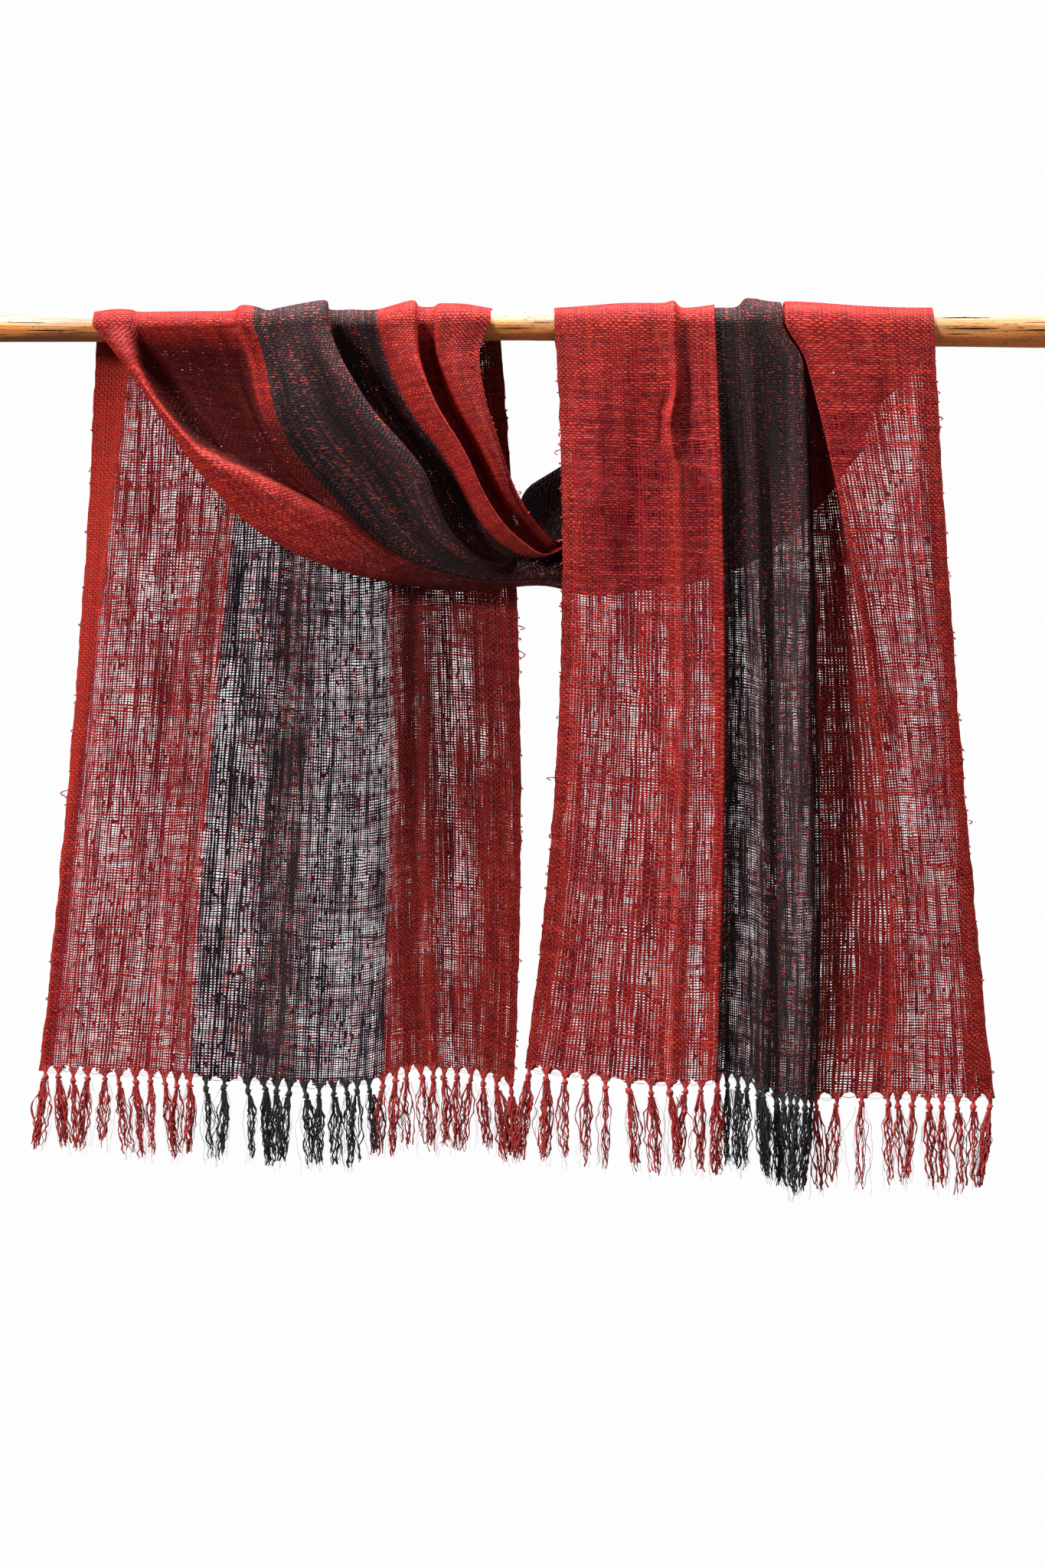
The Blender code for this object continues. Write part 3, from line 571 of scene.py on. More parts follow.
# How far the fine creases stand out at a place
def creaseRise(stretch, across, place):
    total = 0
    for name, across0, place0, across1, place1, width, rise in scarf["creases"]:
        if name != stretch or not min(place0, place1) - 0.1 < place < max(place0, place1) + 0.1:
            continue
        share = (place - place0) / (place1 - place0)
        middle = mix(across0, across1, min(max(share, 0), 1))
        away = (across - middle) * scarf["cutWidth"] / width
        if abs(away) < 3:
            ends = smooth(share / 0.25 + 0.5) * smooth((1 - share) / 0.25 + 0.5)
            total += rise * ends * math.exp(-away * away)
    return total


def scarfPoint(thread, stretch, place, section):
    across = thread["across"]
    if stretch == "left":
        x, lift = leftCrest(thread["swag"])
        back = max(0.0, 1 - place / (math.pi / 2))
        return overStick(x + back * thread["spread"], lift, place)
    if stretch == "right":
        return overStick(thread["front"][0], thread["front"][1], place)
    if stretch == "swag":
        point = swagPoint(across, place, thread["swag"], section, thread["front"][:2])
        point.y -= hump(place, *scarf["swagFree"]) * creaseRise(stretch, across, place)
        return point
    isFront = stretch == "front"
    point = frontPoint(thread, place) if isFront else backPoint(thread, place)
    length, wide, high, seed, fullFrom = scarf["fallWaves"][stretch]
    wave = scarf["softWave"] * lumps(across * scarf["cutWidth"] / wide, place * length / high, seed)
    wave = smooth(place / fullFrom) * (creaseRise(stretch, across, place) + wave)
    point.y += -wave if isFront else wave
    edge = 1 - min(across, 1 - across) / scarf["waverEdge"]
    if edge > 0:
        isFirst = across <= 0.5
        seed = 11 if isFirst else 13
        run = place * scarf["fallLength"]
        long, short = scarf["waverSizes"]
        waver = lumps(run / long, 0, seed) + 0.7 * lumps(run / short, 0, seed + 1)
        outward = 1 if isFirst == isFront else -1
        point.x += outward * edge * scarf["edgeWave"] * waver * smooth(place / 0.05)
    return point


# How much painted shade a place of the swag gets for its own hollows, from 0 to 1
def swagPaintedShade(across, place):
    paintedAmount = readTable(scarf["paintedShade"]["swag"], across)[0] * hump(place, *scarf["swagPaintedShade"])
    start, end = scarf["ridgeSinks"]
    paintedAmount *= mix(1, smooth((place - start) / (end - start)), hump(across, *scarf["ridge"]))
    if across < scarf["rollReach"]:
        # painted shade: the roll catches the light and gets none, and in the bunch what is tucked behind it
        # is painted dark
        start, width = scarf["rollLit"]
        paintedAmount *= smooth((across / readTable(scarf["rollEdge"], place)[0] - start) / width)
        start, length, last, fade = scarf["tuckedPaintedShade"]
        paintedAmount = max(paintedAmount, smooth((place - start) / length) * smooth((last - across) / fade))
    much, start, length = scarf["bunchPaintedShade"]
    return max(paintedAmount, much * smooth((place - start) / length))


# How much painted shade a place of the cloth gets for its hollows, from 0 to 1
def paintedShadeAt(thread, stretch, place):
    if stretch in ("left", "right"):
        return 0
    if stretch == "swag":
        return swagPaintedShade(thread["across"], place)
    paintedAmount = readTable(scarf["paintedShade"][stretch], thread["across"])[0]
    much, start, length = scarf["paintedShadeFades"][stretch]
    paintedAmount *= 1 - much * smooth((place - start) / length)
    # the top of the fall behind gets a painted shadow of the swag
    if stretch == "back":
        much, end = scarf["swagPaintedShadow"]
        paintedAmount += much * (1 - smooth(place / end))
    return min(max(paintedAmount, 0), 1)


# How close the weave is at a place of one thread, from 0 to 1
def closeAt(column, thread, stretch, place):
    if stretch in ("left", "right"):
        return scarf["closeAtStick"]
    here = readTable(scarf["close"][stretch], thread["across"])[0]
    if stretch == "swag":
        return here
    wide, high, much = scarf["weavePatch"]
    here *= 1 + much * lumps(column * scarf["columnWidth"] / wide, place * scarf["fallLength"] / high, 6)
    near = 1 - smooth(place / scarf["closeDown"][stretch])
    here = min(mix(here, scarf["closeAtStick"], near), 0.9)
    if stretch == "back":
        top, bottom, end = scarf["turnedIn"]
        doubled = mix(top, bottom, min(place / end, 1))
        here = max(here, 1 - smooth((thread["across"] * scarf["cutWidth"] - doubled) / 3 + 0.5))
    return here


def makeScarf():
    rows = listRows()
    columns = scarf["columns"]
    threads = [readThread(i / columns) for i in range(columns + 1)]
    deselectAll()
    bpy.ops.mesh.primitive_grid_add(x_subdivisions=columns, y_subdivisions=len(rows) - 1, size=1,
                                    calc_uvs=True)
    piece = bpy.context.object
    piece.name = "scarf_cloth"
    mesh = piece.data
    mesh.uv_layers[0].name = "cut"
    places = []
    for stretch, place in rows:
        section = readTable(scarf["swagSections"], place) if stretch == "swag" else None
        places.append([scarfPoint(thread, stretch, place, section) for thread in threads])
    # each row's place along the warp, from the mean length of the threads
    lengths = [0.0]
    for row, following in zip(places, places[1:]):
        steps = [(a - b).length for a, b in zip(row[::12], following[::12])]
        lengths.append(lengths[-1] + sum(steps) / len(steps))
    print(f"scarf: {lengths[-1]:.0f} mm long, {len(rows)} rows")
    rowOf, closeness, paintedShades = [], [], []
    for vertex in mesh.vertices:
        column = round((vertex.co.x + 0.5) * columns)
        row = round((vertex.co.y + 0.5) * (len(rows) - 1))
        rowOf.append(row)
        vertex.co = places[row][column] * mm
        paintedShades.append(paintedShadeAt(threads[column], *rows[row]))
        closeness.append(closeAt(column, threads[column], *rows[row]))
    cut = mesh.uv_layers["cut"].data
    for loop in mesh.loops:
        cut[loop.index].uv[1] = lengths[rowOf[loop.vertex_index]] / lengths[-1]
    mesh.update()
    # the weave looks closer where the cloth turns away in a fold
    start, turn, closest = scarf["turnedAway"]
    for vertex in mesh.vertices:
        turned = smooth((start - abs(vertex.normal.y)) / turn)
        closeness[vertex.index] = max(closeness[vertex.index], closest * turned)
    close = mesh.attributes.new("close", "FLOAT", "POINT")
    close.data.foreach_set("value", closeness)
    # painted shade for the cloth's hollows, which darkens the gauze's colour
    paintedShade = mesh.attributes.new("paintedShade", "FLOAT", "POINT")
    paintedShade.data.foreach_set("value", paintedShades)
    deselectAll()
    piece.select_set(True)
    bpy.ops.object.shade_smooth()
    mesh.materials.append(makeGauze())
    return piece


gauze = {
    # of each set of threads: distance from thread to thread, half width of a thread as a share of it and the
    # least half width, length of a slub, and how much each pattern widens the threads
    "warp": {"pitch": 2.5, "cover": 0.25, "least": 0.15, "slubLength": 13,
             "swells": {"streaks": 1.05, "slubs": 0.34}},
    "weft": {"pitch": 2.2, "cover": 0.235, "least": 0.19, "slubLength": 5.5,
             "swells": {"rows": 0.28, "bars": 0.5, "blotches": 0.4, "slubs": 0.36}},
    "thickWeft": (0.8, 0.95, 0, 0.11),   # wefts with a chance over 0.8 to 0.95 are wider by up to 0.11
    "closeUp": 0.3, "patchy": 0.22,   # how much folds and patches widen all threads
    # size of each pattern across and along the cloth, and the noise's detail
    "patterns": {
        "streaks": (5.2, 78, 2), "bars": (26, 4.6, 2), "rows": (130, 8, 3), "blotches": (8, 9, 2),
        "bow": (85, 38, 1), "fineBow": (9, 7, 1), "shift": (4.6, 40, 1), "patches": (60, 90, 2),
        "fibre": (0.8, 0.8, 2), "dense": (3.4, 10, 1),
    },
    "sideways": 1.1, "bowed": 5, "fineBowed": 0.9,   # how many threads the patterns shift a thread by
    "tints": {"red": "#AC2021", "deepRed": "#78121A", "brightRed": "#D6422F", "doubledGlowRed": "#C4301F",
              "black": "#1C1315", "softBlack": "#45393B", "stripeWeft": "#351C1F", "fleck": "#C4463A"},
    "crimson": (1, 0.78, 1.35, 1),   # what the open weave's colours are multiplied by
    "stripe": (0.31, 0.69),          # shares across
    # shares across where the weave closes up
    "firstSelvedge": (0.03, 0.052), "lastSelvedge": (0.995, 1.01),
    "openWeave": (0.15, 0.55),   # closeness from lone threads to close ones
    "selvedgeUneven": 0.04, "clumped": 0.63,   # share across, and the noise from which threads lie in clumps
    # noise from where slubs and streaks start to where they are plain, and half width of a slub
    "slubShows": (0.49, 0.62), "streakShows": (0.58, 0.44), "slubHalf": 0.23,
    # how much chance, bars and slubs brighten a weft, and the sums from the darkest to the brightest
    "weftTones": (0.22, 0.7, 0.8), "weftBright": (0.62, 1.12),
    "doubled": (0.92, 1, 0, 0.6),   # closeness from one layer to two, and how much painted glow the doubling adds
    # how uneven fibres make a thread, its painted shade from the middle to the side, then its painted shade
    # alone and in a hollow
    "fuzz": 0.34, "roundShading": (0.2, 0.68, 1.12, 0.55), "loneShade": 0.72, "paintedShadeLeast": 0.24,
    "relief": (0.8, 0.0006),   # strength and depth in m
    "arch": (2.5, 5, 0.3),   # least height over the hem, how much more by chance, half width to a tassel's
    "finish": {"Roughness": 0.62, "IOR": 1.5, "Specular IOR Level": 0.12, "Sheen Weight": 0.03,
               "Sheen Roughness": 0.4, "Sheen Tint": colour("#F0705E")},
}


# One set of threads: its threads' numbers and chances, their slubs, and the distance from the nearest middle
def countThreads(add, kind, place, run):
    number = add("Math", place, operation="FLOOR")
    phase = add("Math", place, operation="FRACT")
    own = add("Math", number, 3.71, operation="MULTIPLY")
    along = add("Math", run, 1 / gauze[kind]["slubLength"], operation="MULTIPLY")
    return {
        "number": number, "chance": add("TexWhiteNoise", number, noise_dimensions="1D"),
        "away": distanceFrom(add, phase, 0.5), "slubs": add("TexNoise", add("CombineXYZ", own, along), 1, 1),
    }


# Where the threads of one set lie, 1 on a thread and 0 beside it. Closer is what widens both sets.
def coverWith(add, kind, threads, noises, closer):
    values = gauze[kind]
    half = add("Math", closer, values["cover"] - 0.5 * sum(values["swells"].values()), operation="ADD")
    for pattern, amount in values["swells"].items():
        source = threads["slubs"] if pattern == "slubs" else noises[pattern]
        half = add("Math", source, amount, half, operation="MULTIPLY_ADD")
    half = add("Math", half, values["least"], operation="MAXIMUM")
    return add("Math", threads["away"], half, operation="LESS_THAN")


# At each hem the warps draw together into the tassels, and arches open between them.
def hemArches(add, share):
    counted = add("Math", share["X"], tassels["count"], operation="MULTIPLY")
    number = add("Math", counted, operation="FLOOR")
    between = distanceFrom(add, add("Math", counted, operation="FRACT"), 0.5)
    hemNear = distanceFrom(add, share["Y"], 0.5)
    hemAway = add("MapRange", hemNear, 0.5, 0, 0, scarf["cutLength"] / 2)
    chance = add("TexWhiteNoise", number, noise_dimensions="1D")
    least, more, wide = gauze["arch"]
    height = add("Math", chance, more, least, operation="MULTIPLY_ADD")
    upwards = add("Math", hemAway, height, operation="DIVIDE")
    square = add("Math", upwards, upwards, operation="MULTIPLY")
    rest = add("Math", 1, square, operation="SUBTRACT", use_clamp=True)
    root = add("Math", rest, operation="SQRT")
    edge = add("Math", root, -wide, 0.5, operation="MULTIPLY_ADD")
    arch = add("Math", between, edge, operation="GREATER_THAN")
    inside = add("Math", distanceFrom(add, share["X"], 0.5), 0.48, operation="LESS_THAN")
    return add("Math", arch, inside, operation="MULTIPLY")


# The colours of the red and black warps, of the wefts that cross them, and the painted glow of the
# doubled-over edge
def colourThreads(add, share, close, noises, warp, weft, weftShows, fleck):
    tint = {name: colour(code) for name, code in gauze["tints"].items()}
    redWarp = add("Mix", warp["chance"], tint["red"], tint["deepRed"], data_type="RGBA")
    blackWarp = add("Mix", warp["chance"], tint["black"], tint["softBlack"], data_type="RGBA")
    first, last = gauze["stripe"]
    stripeAway = distanceFrom(add, share["X"], 0.5 * (first + last))
    inStripe = add("Math", stripeAway, 0.5 * (last - first), operation="LESS_THAN")
    warpColour = add("Mix", inStripe, redWarp, blackWarp, data_type="RGBA")
    byChance, byBars, bySlubs = gauze["weftTones"]
    ownTone = add("Math", weft["chance"], byChance, operation="MULTIPLY")
    barTone = add("Math", noises["bars"], byBars, ownTone, operation="MULTIPLY_ADD")
    weftTone = add("Math", weft["slubs"], bySlubs, barTone, operation="MULTIPLY_ADD")
    weftBright = add("MapRange", weftTone, *gauze["weftBright"])
    redWeft = add("Mix", weftBright, tint["deepRed"], tint["brightRed"], data_type="RGBA")
    stripeWeft = add("Mix", fleck, tint["stripeWeft"], tint["fleck"], data_type="RGBA")
    weftColour = add("Mix", inStripe, redWeft, stripeWeft, data_type="RGBA")
    woven = add("Mix", weftShows, warpColour, weftColour, data_type="RGBA")
    # painted glow: the doubled-over edge glows where light passes from one layer to the other
    doubled = add("MapRange", close, *gauze["doubled"])
    edged = add("Mix", doubled, woven, tint["doubledGlowRed"], data_type="RGBA")
    crimson = add("MapRange", close, *gauze["openWeave"], 1, 0)
    tinged = add("Mix", crimson, (1, 1, 1, 1), gauze["crimson"], data_type="RGBA")
    return add("VectorMath", edged, tinged, operation="MULTIPLY")


# Open handwoven silk gauze of uneven handspun thread: dull silk sheen, slubs, bunched warps and small
# see-through gaps. Red wefts cross red warps, and dark wefts cross the black warps of the stripe.
def makeGauze():
    material, shader, add = newMaterial("handwoven silk gauze")
    cut = add("UVMap", uv_map="cut")
    share = add("SeparateXYZ", cut).outputs
    flat = add("VectorMath", cut, (scarf["cutWidth"], scarf["cutLength"], 1), operation="MULTIPLY")
    place = add("SeparateXYZ", flat).outputs
    close = add("Attribute", attribute_name="close").outputs["Fac"]
    paintedShade = add("Attribute", attribute_name="paintedShade").outputs["Fac"]
    noises = {}
    for name, (across, along, detail) in gauze["patterns"].items():
        noises[name] = stretchedNoise(add, flat, (1 / across, 1 / along, 1), detail)

    # the threads' own coordinates: whole numbers count threads
    drift = add("Math", noises["shift"], gauze["sideways"], operation="MULTIPLY")
    warpPlace = add("Math", place["X"], 1 / gauze["warp"]["pitch"], drift, operation="MULTIPLY_ADD")
    bowed = add("Math", noises["bow"], gauze["bowed"], operation="MULTIPLY")
    allBows = add("Math", noises["fineBow"], gauze["fineBowed"], bowed, operation="MULTIPLY_ADD")
    weftPlace = add("Math", place["Y"], 1 / gauze["weft"]["pitch"], allBows, operation="MULTIPLY_ADD")
    warp = countThreads(add, "warp", warpPlace, place["Y"])
    weft = countThreads(add, "weft", weftPlace, place["X"])

    # both sets close up in folds, in patches and at the selvedges
    uneven = add("Math", noises["streaks"], gauze["selvedgeUneven"], share["X"], operation="MULTIPLY_ADD")
    firstEdge = add("MapRange", uneven, *gauze["firstSelvedge"], 0.5, 0)
    lastEdge = add("MapRange", uneven, *gauze["lastSelvedge"], 0, 0.5)
    selvedge = add("Math", firstEdge, lastEdge, operation="ADD")
    folded = add("Math", close, gauze["closeUp"], selvedge, operation="MULTIPLY_ADD")
    patchy = gauze["patchy"]
    patches = add("Math", noises["patches"], patchy, -0.5 * patchy, operation="MULTIPLY_ADD")
    closer = add("Math", folded, patches, operation="ADD")
    thick = add("MapRange", weft["chance"], *gauze["thickWeft"])
    weftCloser = add("Math", closer, thick, operation="ADD")
    warpHere = coverWith(add, "warp", warp, noises, closer)
    weftHere = coverWith(add, "weft", weft, noises, weftCloser)
    clumped = add("Math", noises["dense"], gauze["clumped"], operation="GREATER_THAN")
    threadHere = add("Math", warpHere, weftHere, operation="MAXIMUM")
    solid = add("Math", threadHere, clumped, operation="MAXIMUM")
    left = add("Math", solid, hemArches(add, share), operation="SUBTRACT", use_clamp=True)

    # plain weave: the weft lies on top at every other crossing, and its slubs stand out
    crossing = add("Math", warp["number"], weft["number"], operation="ADD")
    halved = add("Math", crossing, 0.5, operation="MULTIPLY")
    odd = add("Math", halved, operation="FRACT")
    weftOver = add("Math", odd, 0.25, operation="GREATER_THAN")
    noWarp = add("Math", 1, warpHere, operation="SUBTRACT")
    weftTop = add("Math", weftOver, noWarp, operation="MAXIMUM")
    slubbed = add("MapRange", weft["slubs"], *gauze["slubShows"])
    nearMiddle = add("Math", weft["away"], gauze["slubHalf"], operation="LESS_THAN")
    slubHere = add("Math", slubbed, nearMiddle, operation="MULTIPLY")
    betweenStreaks = add("MapRange", noises["streaks"], *gauze["streakShows"])
    fleck = add("Math", slubHere, betweenStreaks, operation="MULTIPLY")
    slubTop = add("Math", weftTop, fleck, operation="MAXIMUM")
    weftShows = add("Math", slubTop, weftHere, operation="MULTIPLY")
    threadColour = colourThreads(add, share, close, noises, warp, weft, weftShows, fleck)

    # painted shade: threads darken into the gaps beside them
    nearest = add("Mix", weftShows, warp["away"], weft["away"])
    fibres = add("Math", noises["fibre"], gauze["fuzz"], nearest, operation="MULTIPLY_ADD")
    roundShade = add("MapRange", fibres, *gauze["roundShading"])
    # lone threads look darker than close ones, whose neighbours throw light back on them
    lone = add("MapRange", close, *gauze["openWeave"], gauze["loneShade"], 1)
    # painted shade in the cloth's hollows
    paintedShadeFactor = add("MapRange", paintedShade, 0, 1, 1, gauze["paintedShadeLeast"])
    roundAndLoneShade = add("Math", roundShade, lone, operation="MULTIPLY")
    shade = add("Math", roundAndLoneShade, paintedShadeFactor, operation="MULTIPLY")
    shaded = add("VectorMath", threadColour, shade, operation="SCALE")
    # relief of the round threads
    squared = add("Math", nearest, nearest, operation="MULTIPLY")
    threadTop = add("Math", squared, -4, 1, operation="MULTIPLY_ADD")
    relief = add("Bump", *gauze["relief"])
    setInputs(relief, {"Height": threadTop})
    setInputs(shader, {"Alpha": left, "Base Color": shaded, "Normal": relief, **gauze["finish"]})
    return material


# The tassels

tassels = {
    "count": 34, "thick": {"back_tassels": (0, 1, 14, 32, 33), "front_tassels": (0, 18, 23, 32, 33)},
    "length": {"back_tassels": 74, "front_tassels": 84}, "lengthChance": (0.9, 1.03),
    # the neck: where warps start to draw together over the hem, how far to both sides, how many, radii
    "neck": 6.5, "neckHalf": 4.6, "gathered": 8, "neckRadii": (0.55, 1.35),
    "knotDrop": 1.5, "knotRadius": 2.7, "knotLength": 7.5, "lean": 0.26,
    # the wefts that sag between two tassels closer than the reach: how high they start and how far they sag
    "sagReach": 24, "sagStart": (1, 6.5), "sag": (1, 3.5), "sagRadius": 0.15,
    "strands": (8, 12), "thickStrands": 22, "strandRadius": 0.7, "strandSpread": 3.3, "sway": 2.4,
    "sizes": (0.62, 0.8, 1, 1.2, 1.4), "points": 15,
    "hairs": 6, "hairSize": 0.2, "hairSpread": 1.7, "hairPoints": 10,
    # lengths of a strand's kinks to the sides, of its bends to the front and back, and of its slubs
    "kinks": (17, 6), "bends": 15, "nubs": 5,
    # dark and light tones, the colour of the painted highlight on the twists, and how many lumps of tone and
    # twists to a metre
    "red": ("#8C1F20", "#BC3230", "#DA675C"), "black": ("#1E1B1D", "#2C2829", "#463E40"),
    "tonesPerMetre": 260, "twistsPerMetre": 1500,
    "finish": {"Roughness": 0.6, "IOR": 1.5, "Specular IOR Level": 0.25, "Sheen Weight": 0.05},
}


# Adds a round thread. A function gives its point and its radius for a share of its length.
def addStrand(curve, slot, count, at):
    path = curve.splines.new("POLY")
    path.points.add(count - 1)
    for number, spot in enumerate(path.points):
        point, spot.radius = at(number / (count - 1))
        spot.co = (*(point * mm), 1)
    path.material_index = slot
    path.use_smooth = True


# Turns finished strands into one mesh of thin round threads.
def finishStrands(name, curve):
    piece = bpy.data.objects.new(name, curve)
    bpy.context.scene.collection.objects.link(piece)
    deselectAll()
    piece.select_set(True)
    bpy.context.view_layer.objects.active = piece
    bpy.ops.object.convert(target="MESH")
    print(f"{name}: {len(piece.data.polygons)} faces")
    return bpy.context.object


def newStrands(name, materials):
    curve = bpy.data.curves.new(name, "CURVE")
    curve.dimensions = "3D"
    curve.bevel_depth = mm
    curve.bevel_resolution = 1
    curve.use_fill_caps = True
    for material in materials:
        curve.materials.append(material)
    return curve


# The warps drawn together above a knot, in a thick uneven V
def addNeck(curve, chance, tassel):
    here, along = tassel["here"], tassel["along"]
    for number in range(tassels["gathered"]):
        side = mix(-1, 1, number / (tassels["gathered"] - 1)) * tassels["neckHalf"]
        top = here + along * side + Vector((0, 0, tassels["neck"] * chance.uniform(0.7, 1.25)))

        def at(share):
            point = top.lerp(tassel["knot"], share) - along * side * 0.55 * share * (1 - share)
            point = point + tassel["out"] * chance.uniform(-0.3, 0.3) + along * chance.uniform(-0.25, 0.25)
            return point, mix(*tassels["neckRadii"], share) * chance.uniform(0.8, 1.2)

        addStrand(curve, tassel["slot"], 7, at)


# The knot: an uneven lump with a turn of thread pulled round it. Gives where the loose ends start.
def addKnot(curve, chance, tassel):
    knot, axis, along = tassel["knot"], tassel["axis"], tassel["along"]
    length = tassels["knotLength"] * chance.uniform(0.8, 1.25)
    radius = tassels["knotRadius"] * chance.uniform(0.8, 1.2)
    skew = chance.uniform(-0.9, 0.9)

    def lump(share):
        bulge = math.sin(math.pi * share)
        point = knot + axis * (length * share - 1.0) + along * skew * bulge
        return point, mix(0.9, radius, bulge ** 0.8) * chance.uniform(0.88, 1.12)

    addStrand(curve, tassel["slot"], 8, lump)
    begin, tilt = chance.uniform(0, 6.28), chance.uniform(-0.6, 0.6)

    def turn(share):
        angle = begin + 5.6 * share
        ring = along * 0.85 * radius * math.cos(angle) + tassel["out"] * 0.85 * radius * math.sin(angle)
        sink = 0.42 * length - 1 + tilt * radius * math.cos(angle) + 1.2 * share
        return knot + ring + axis * sink, 0.85 * chance.uniform(0.8, 1.2)

    addStrand(curve, tassel["slot"], 11, turn)
    return knot + axis * (length - 1.8)


# The last wefts sag across the gap to the tassel before.
def addSags(curve, chance, last, here):
    for number in range(2):
        rise, sag = chance.uniform(*tassels["sagStart"]), chance.uniform(*tassels["sag"])

        def at(share):
            drop = rise - 4 * sag * share * (1 - share)
            return last.lerp(here, mix(0.12, 0.88, share)) + Vector((0, 0, drop)), tassels["sagRadius"]

        addStrand(curve, 0, 8, at)


# The loose ends under a knot, kinked and slubby, and a few hairs that stray from them
def addEnds(curve, chance, tassel, start):
    length = tassel["length"] * chance.uniform(*tassels["lengthChance"]) - (tassel["here"].z - start.z)
    lean = tassel["along"] * chance.uniform(-3.5, 3.5)
    strands = tassels["thickStrands"] if tassel["thick"] else chance.randint(*tassels["strands"])
    for number in range(strands + tassels["hairs"]):
        isHair = number >= strands
        spread = chance.gauss(0, 1) * tassels["strandSpread"] * (tassels["hairSpread"] if isHair else 1)
        depth = chance.gauss(0, 1) * 1.2
        own = chance.random() * 90
        reach = length * (chance.uniform(0.85, 1.08) if isHair else chance.uniform(0.72, 1.0) ** 0.7)
        size = tassels["hairSize"] if isHair else chance.choice(tassels["sizes"])

        def at(share):
            run = share * reach
            opening = (0.35 + 0.65 * smooth(share / 0.35)) * (1 - 0.3 * smooth((share - 0.45) / 0.55))
            wander = tassels["sway"] * smooth(share / 0.25)
            long, short = tassels["kinks"]
            kink = lumps(run / long, 0, own) + 0.8 * lumps(run / short, 0, own + 5)
            sideways = spread * opening + 1.6 * wander * kink
            bend = lumps(run / tassels["bends"], 0, own + 9)
            inward = depth * smooth(share / 0.4) + wander * 0.5 * bend
            point = start + tassel["along"] * sideways + tassel["out"] * inward + lean * share
            point += tassel["axis"] * run * 0.35 - Vector((0, 0, 0.65 * run))
            nub = 1 + 1.1 * lumps(run / tassels["nubs"], 0, own + 3)
            return point, tassels["strandRadius"] * size * max(nub, 0.4) * mix(1.0, 0.7, share)

        addStrand(curve, tassel["slot"], tassels["hairPoints" if isHair else "points"], at)


# Each bundle of warp ends is drawn together, knotted and left loose.
def makeTassels(name, hemPoint, seed, materials):
    chance = random.Random(seed)
    curve = newStrands(name, materials)
    last = None
    for number in range(tassels["count"]):
        middle = (number + 0.5) / tassels["count"]
        here = hemPoint(readThread(middle), 1.0)
        along = hemPoint(readThread(middle + 0.004), 1.0) - hemPoint(readThread(middle - 0.004), 1.0)
        slope = min(max(along.y / max(abs(along.x), 0.1), -0.3), 0.3)
        along = Vector((math.copysign(1, along.x), slope, 0))
        along.normalize()
        out = Vector((along.y, -along.x, 0))
        axis = along * chance.uniform(-tassels["lean"], tassels["lean"]) + out * chance.uniform(-0.06, 0.06)
        axis += Vector((0, 0, -1))
        knot = here + along * chance.uniform(-1.5, 1.5) - Vector((0, 0, tassels["knotDrop"]))
        knot.z -= chance.uniform(0, 3.0)
        tassel = {
            "here": here, "knot": knot, "along": along, "out": out, "axis": axis,
            "slot": 1 if gauze["stripe"][0] < middle < gauze["stripe"][1] else 0,
            "length": tassels["length"][name], "thick": number in tassels["thick"][name],
        }
        addNeck(curve, chance, tassel)
        start = addKnot(curve, chance, tassel)
        if last is not None and (here - last).length < tassels["sagReach"]:
            addSags(curve, chance, last, here)
        last = here
        addEnds(curve, chance, tassel, start)
    return finishStrands(name, curve)


# Loosely twisted silk warp ends: dull, a little fuzzy and uneven in colour along their length, with painted
# highlights on the twists
def makeThread(name, dark, light, twistHighlight):
    material, shader, add = newMaterial(name)
    place = add("TexCoord").outputs["Object"]
    uneven = add("TexNoise", place, tassels["tonesPerMetre"], 2)
    twist = add("TexNoise", place, tassels["twistsPerMetre"], 1)
    tone = add("MapRange", uneven, 0.35, 0.65)
    base = add("Mix", tone, colour(dark), colour(light), data_type="RGBA")
    # painted highlight where the twists stand out
    lit = add("MapRange", twist, 0.55, 0.75, 0, 0.6)
    mixed = add("Mix", lit, base, colour(twistHighlight), data_type="RGBA")
    relief = add("Bump", 0.3, 0.0003)
    setInputs(relief, {"Height": twist})
    setInputs(shader, {"Base Color": mixed, "Normal": relief, **tassels["finish"]})
    return material


# Loose threads along the selvedges, and slubs that stand out of the cloth

loose = {
    # stretch, share across, from and to along it, how many
    "edges": (
        ("back", 1, 0.08, 0.98, 30), ("back", 0, 0.1, 0.98, 16), ("front", 1, 0.03, 0.98, 36),
        ("front", 0, 0.04, 0.98, 26), ("swag", 1, 0.05, 0.5, 10),
    ),
    # stretch, share across, place along it, how far the loop reaches out
    "loops": (
        ("back", 1, 0.225, 5), ("back", 1, 0.392, 7), ("back", 1, 0.425, 6), ("front", 1, 0.17, 6),
        ("front", 1, 0.292, 5), ("front", 0, 0.118, 4), ("front", 0, 0.64, 5), ("swag", 1, 0.395, 5),
        ("back", 0, 0.62, 8), ("front", 1, 0.61, 8), ("front", 0.735, 0.205, 6), ("front", 0.88, 0.345, 5),
    ),
    "slubs": (("back", 60), ("swag", 46), ("front", 90)),
    "reach": (0.9, 2.6), "radius": 0.55, "slubLength": (2.5, 7), "slubRadius": 0.62,
}


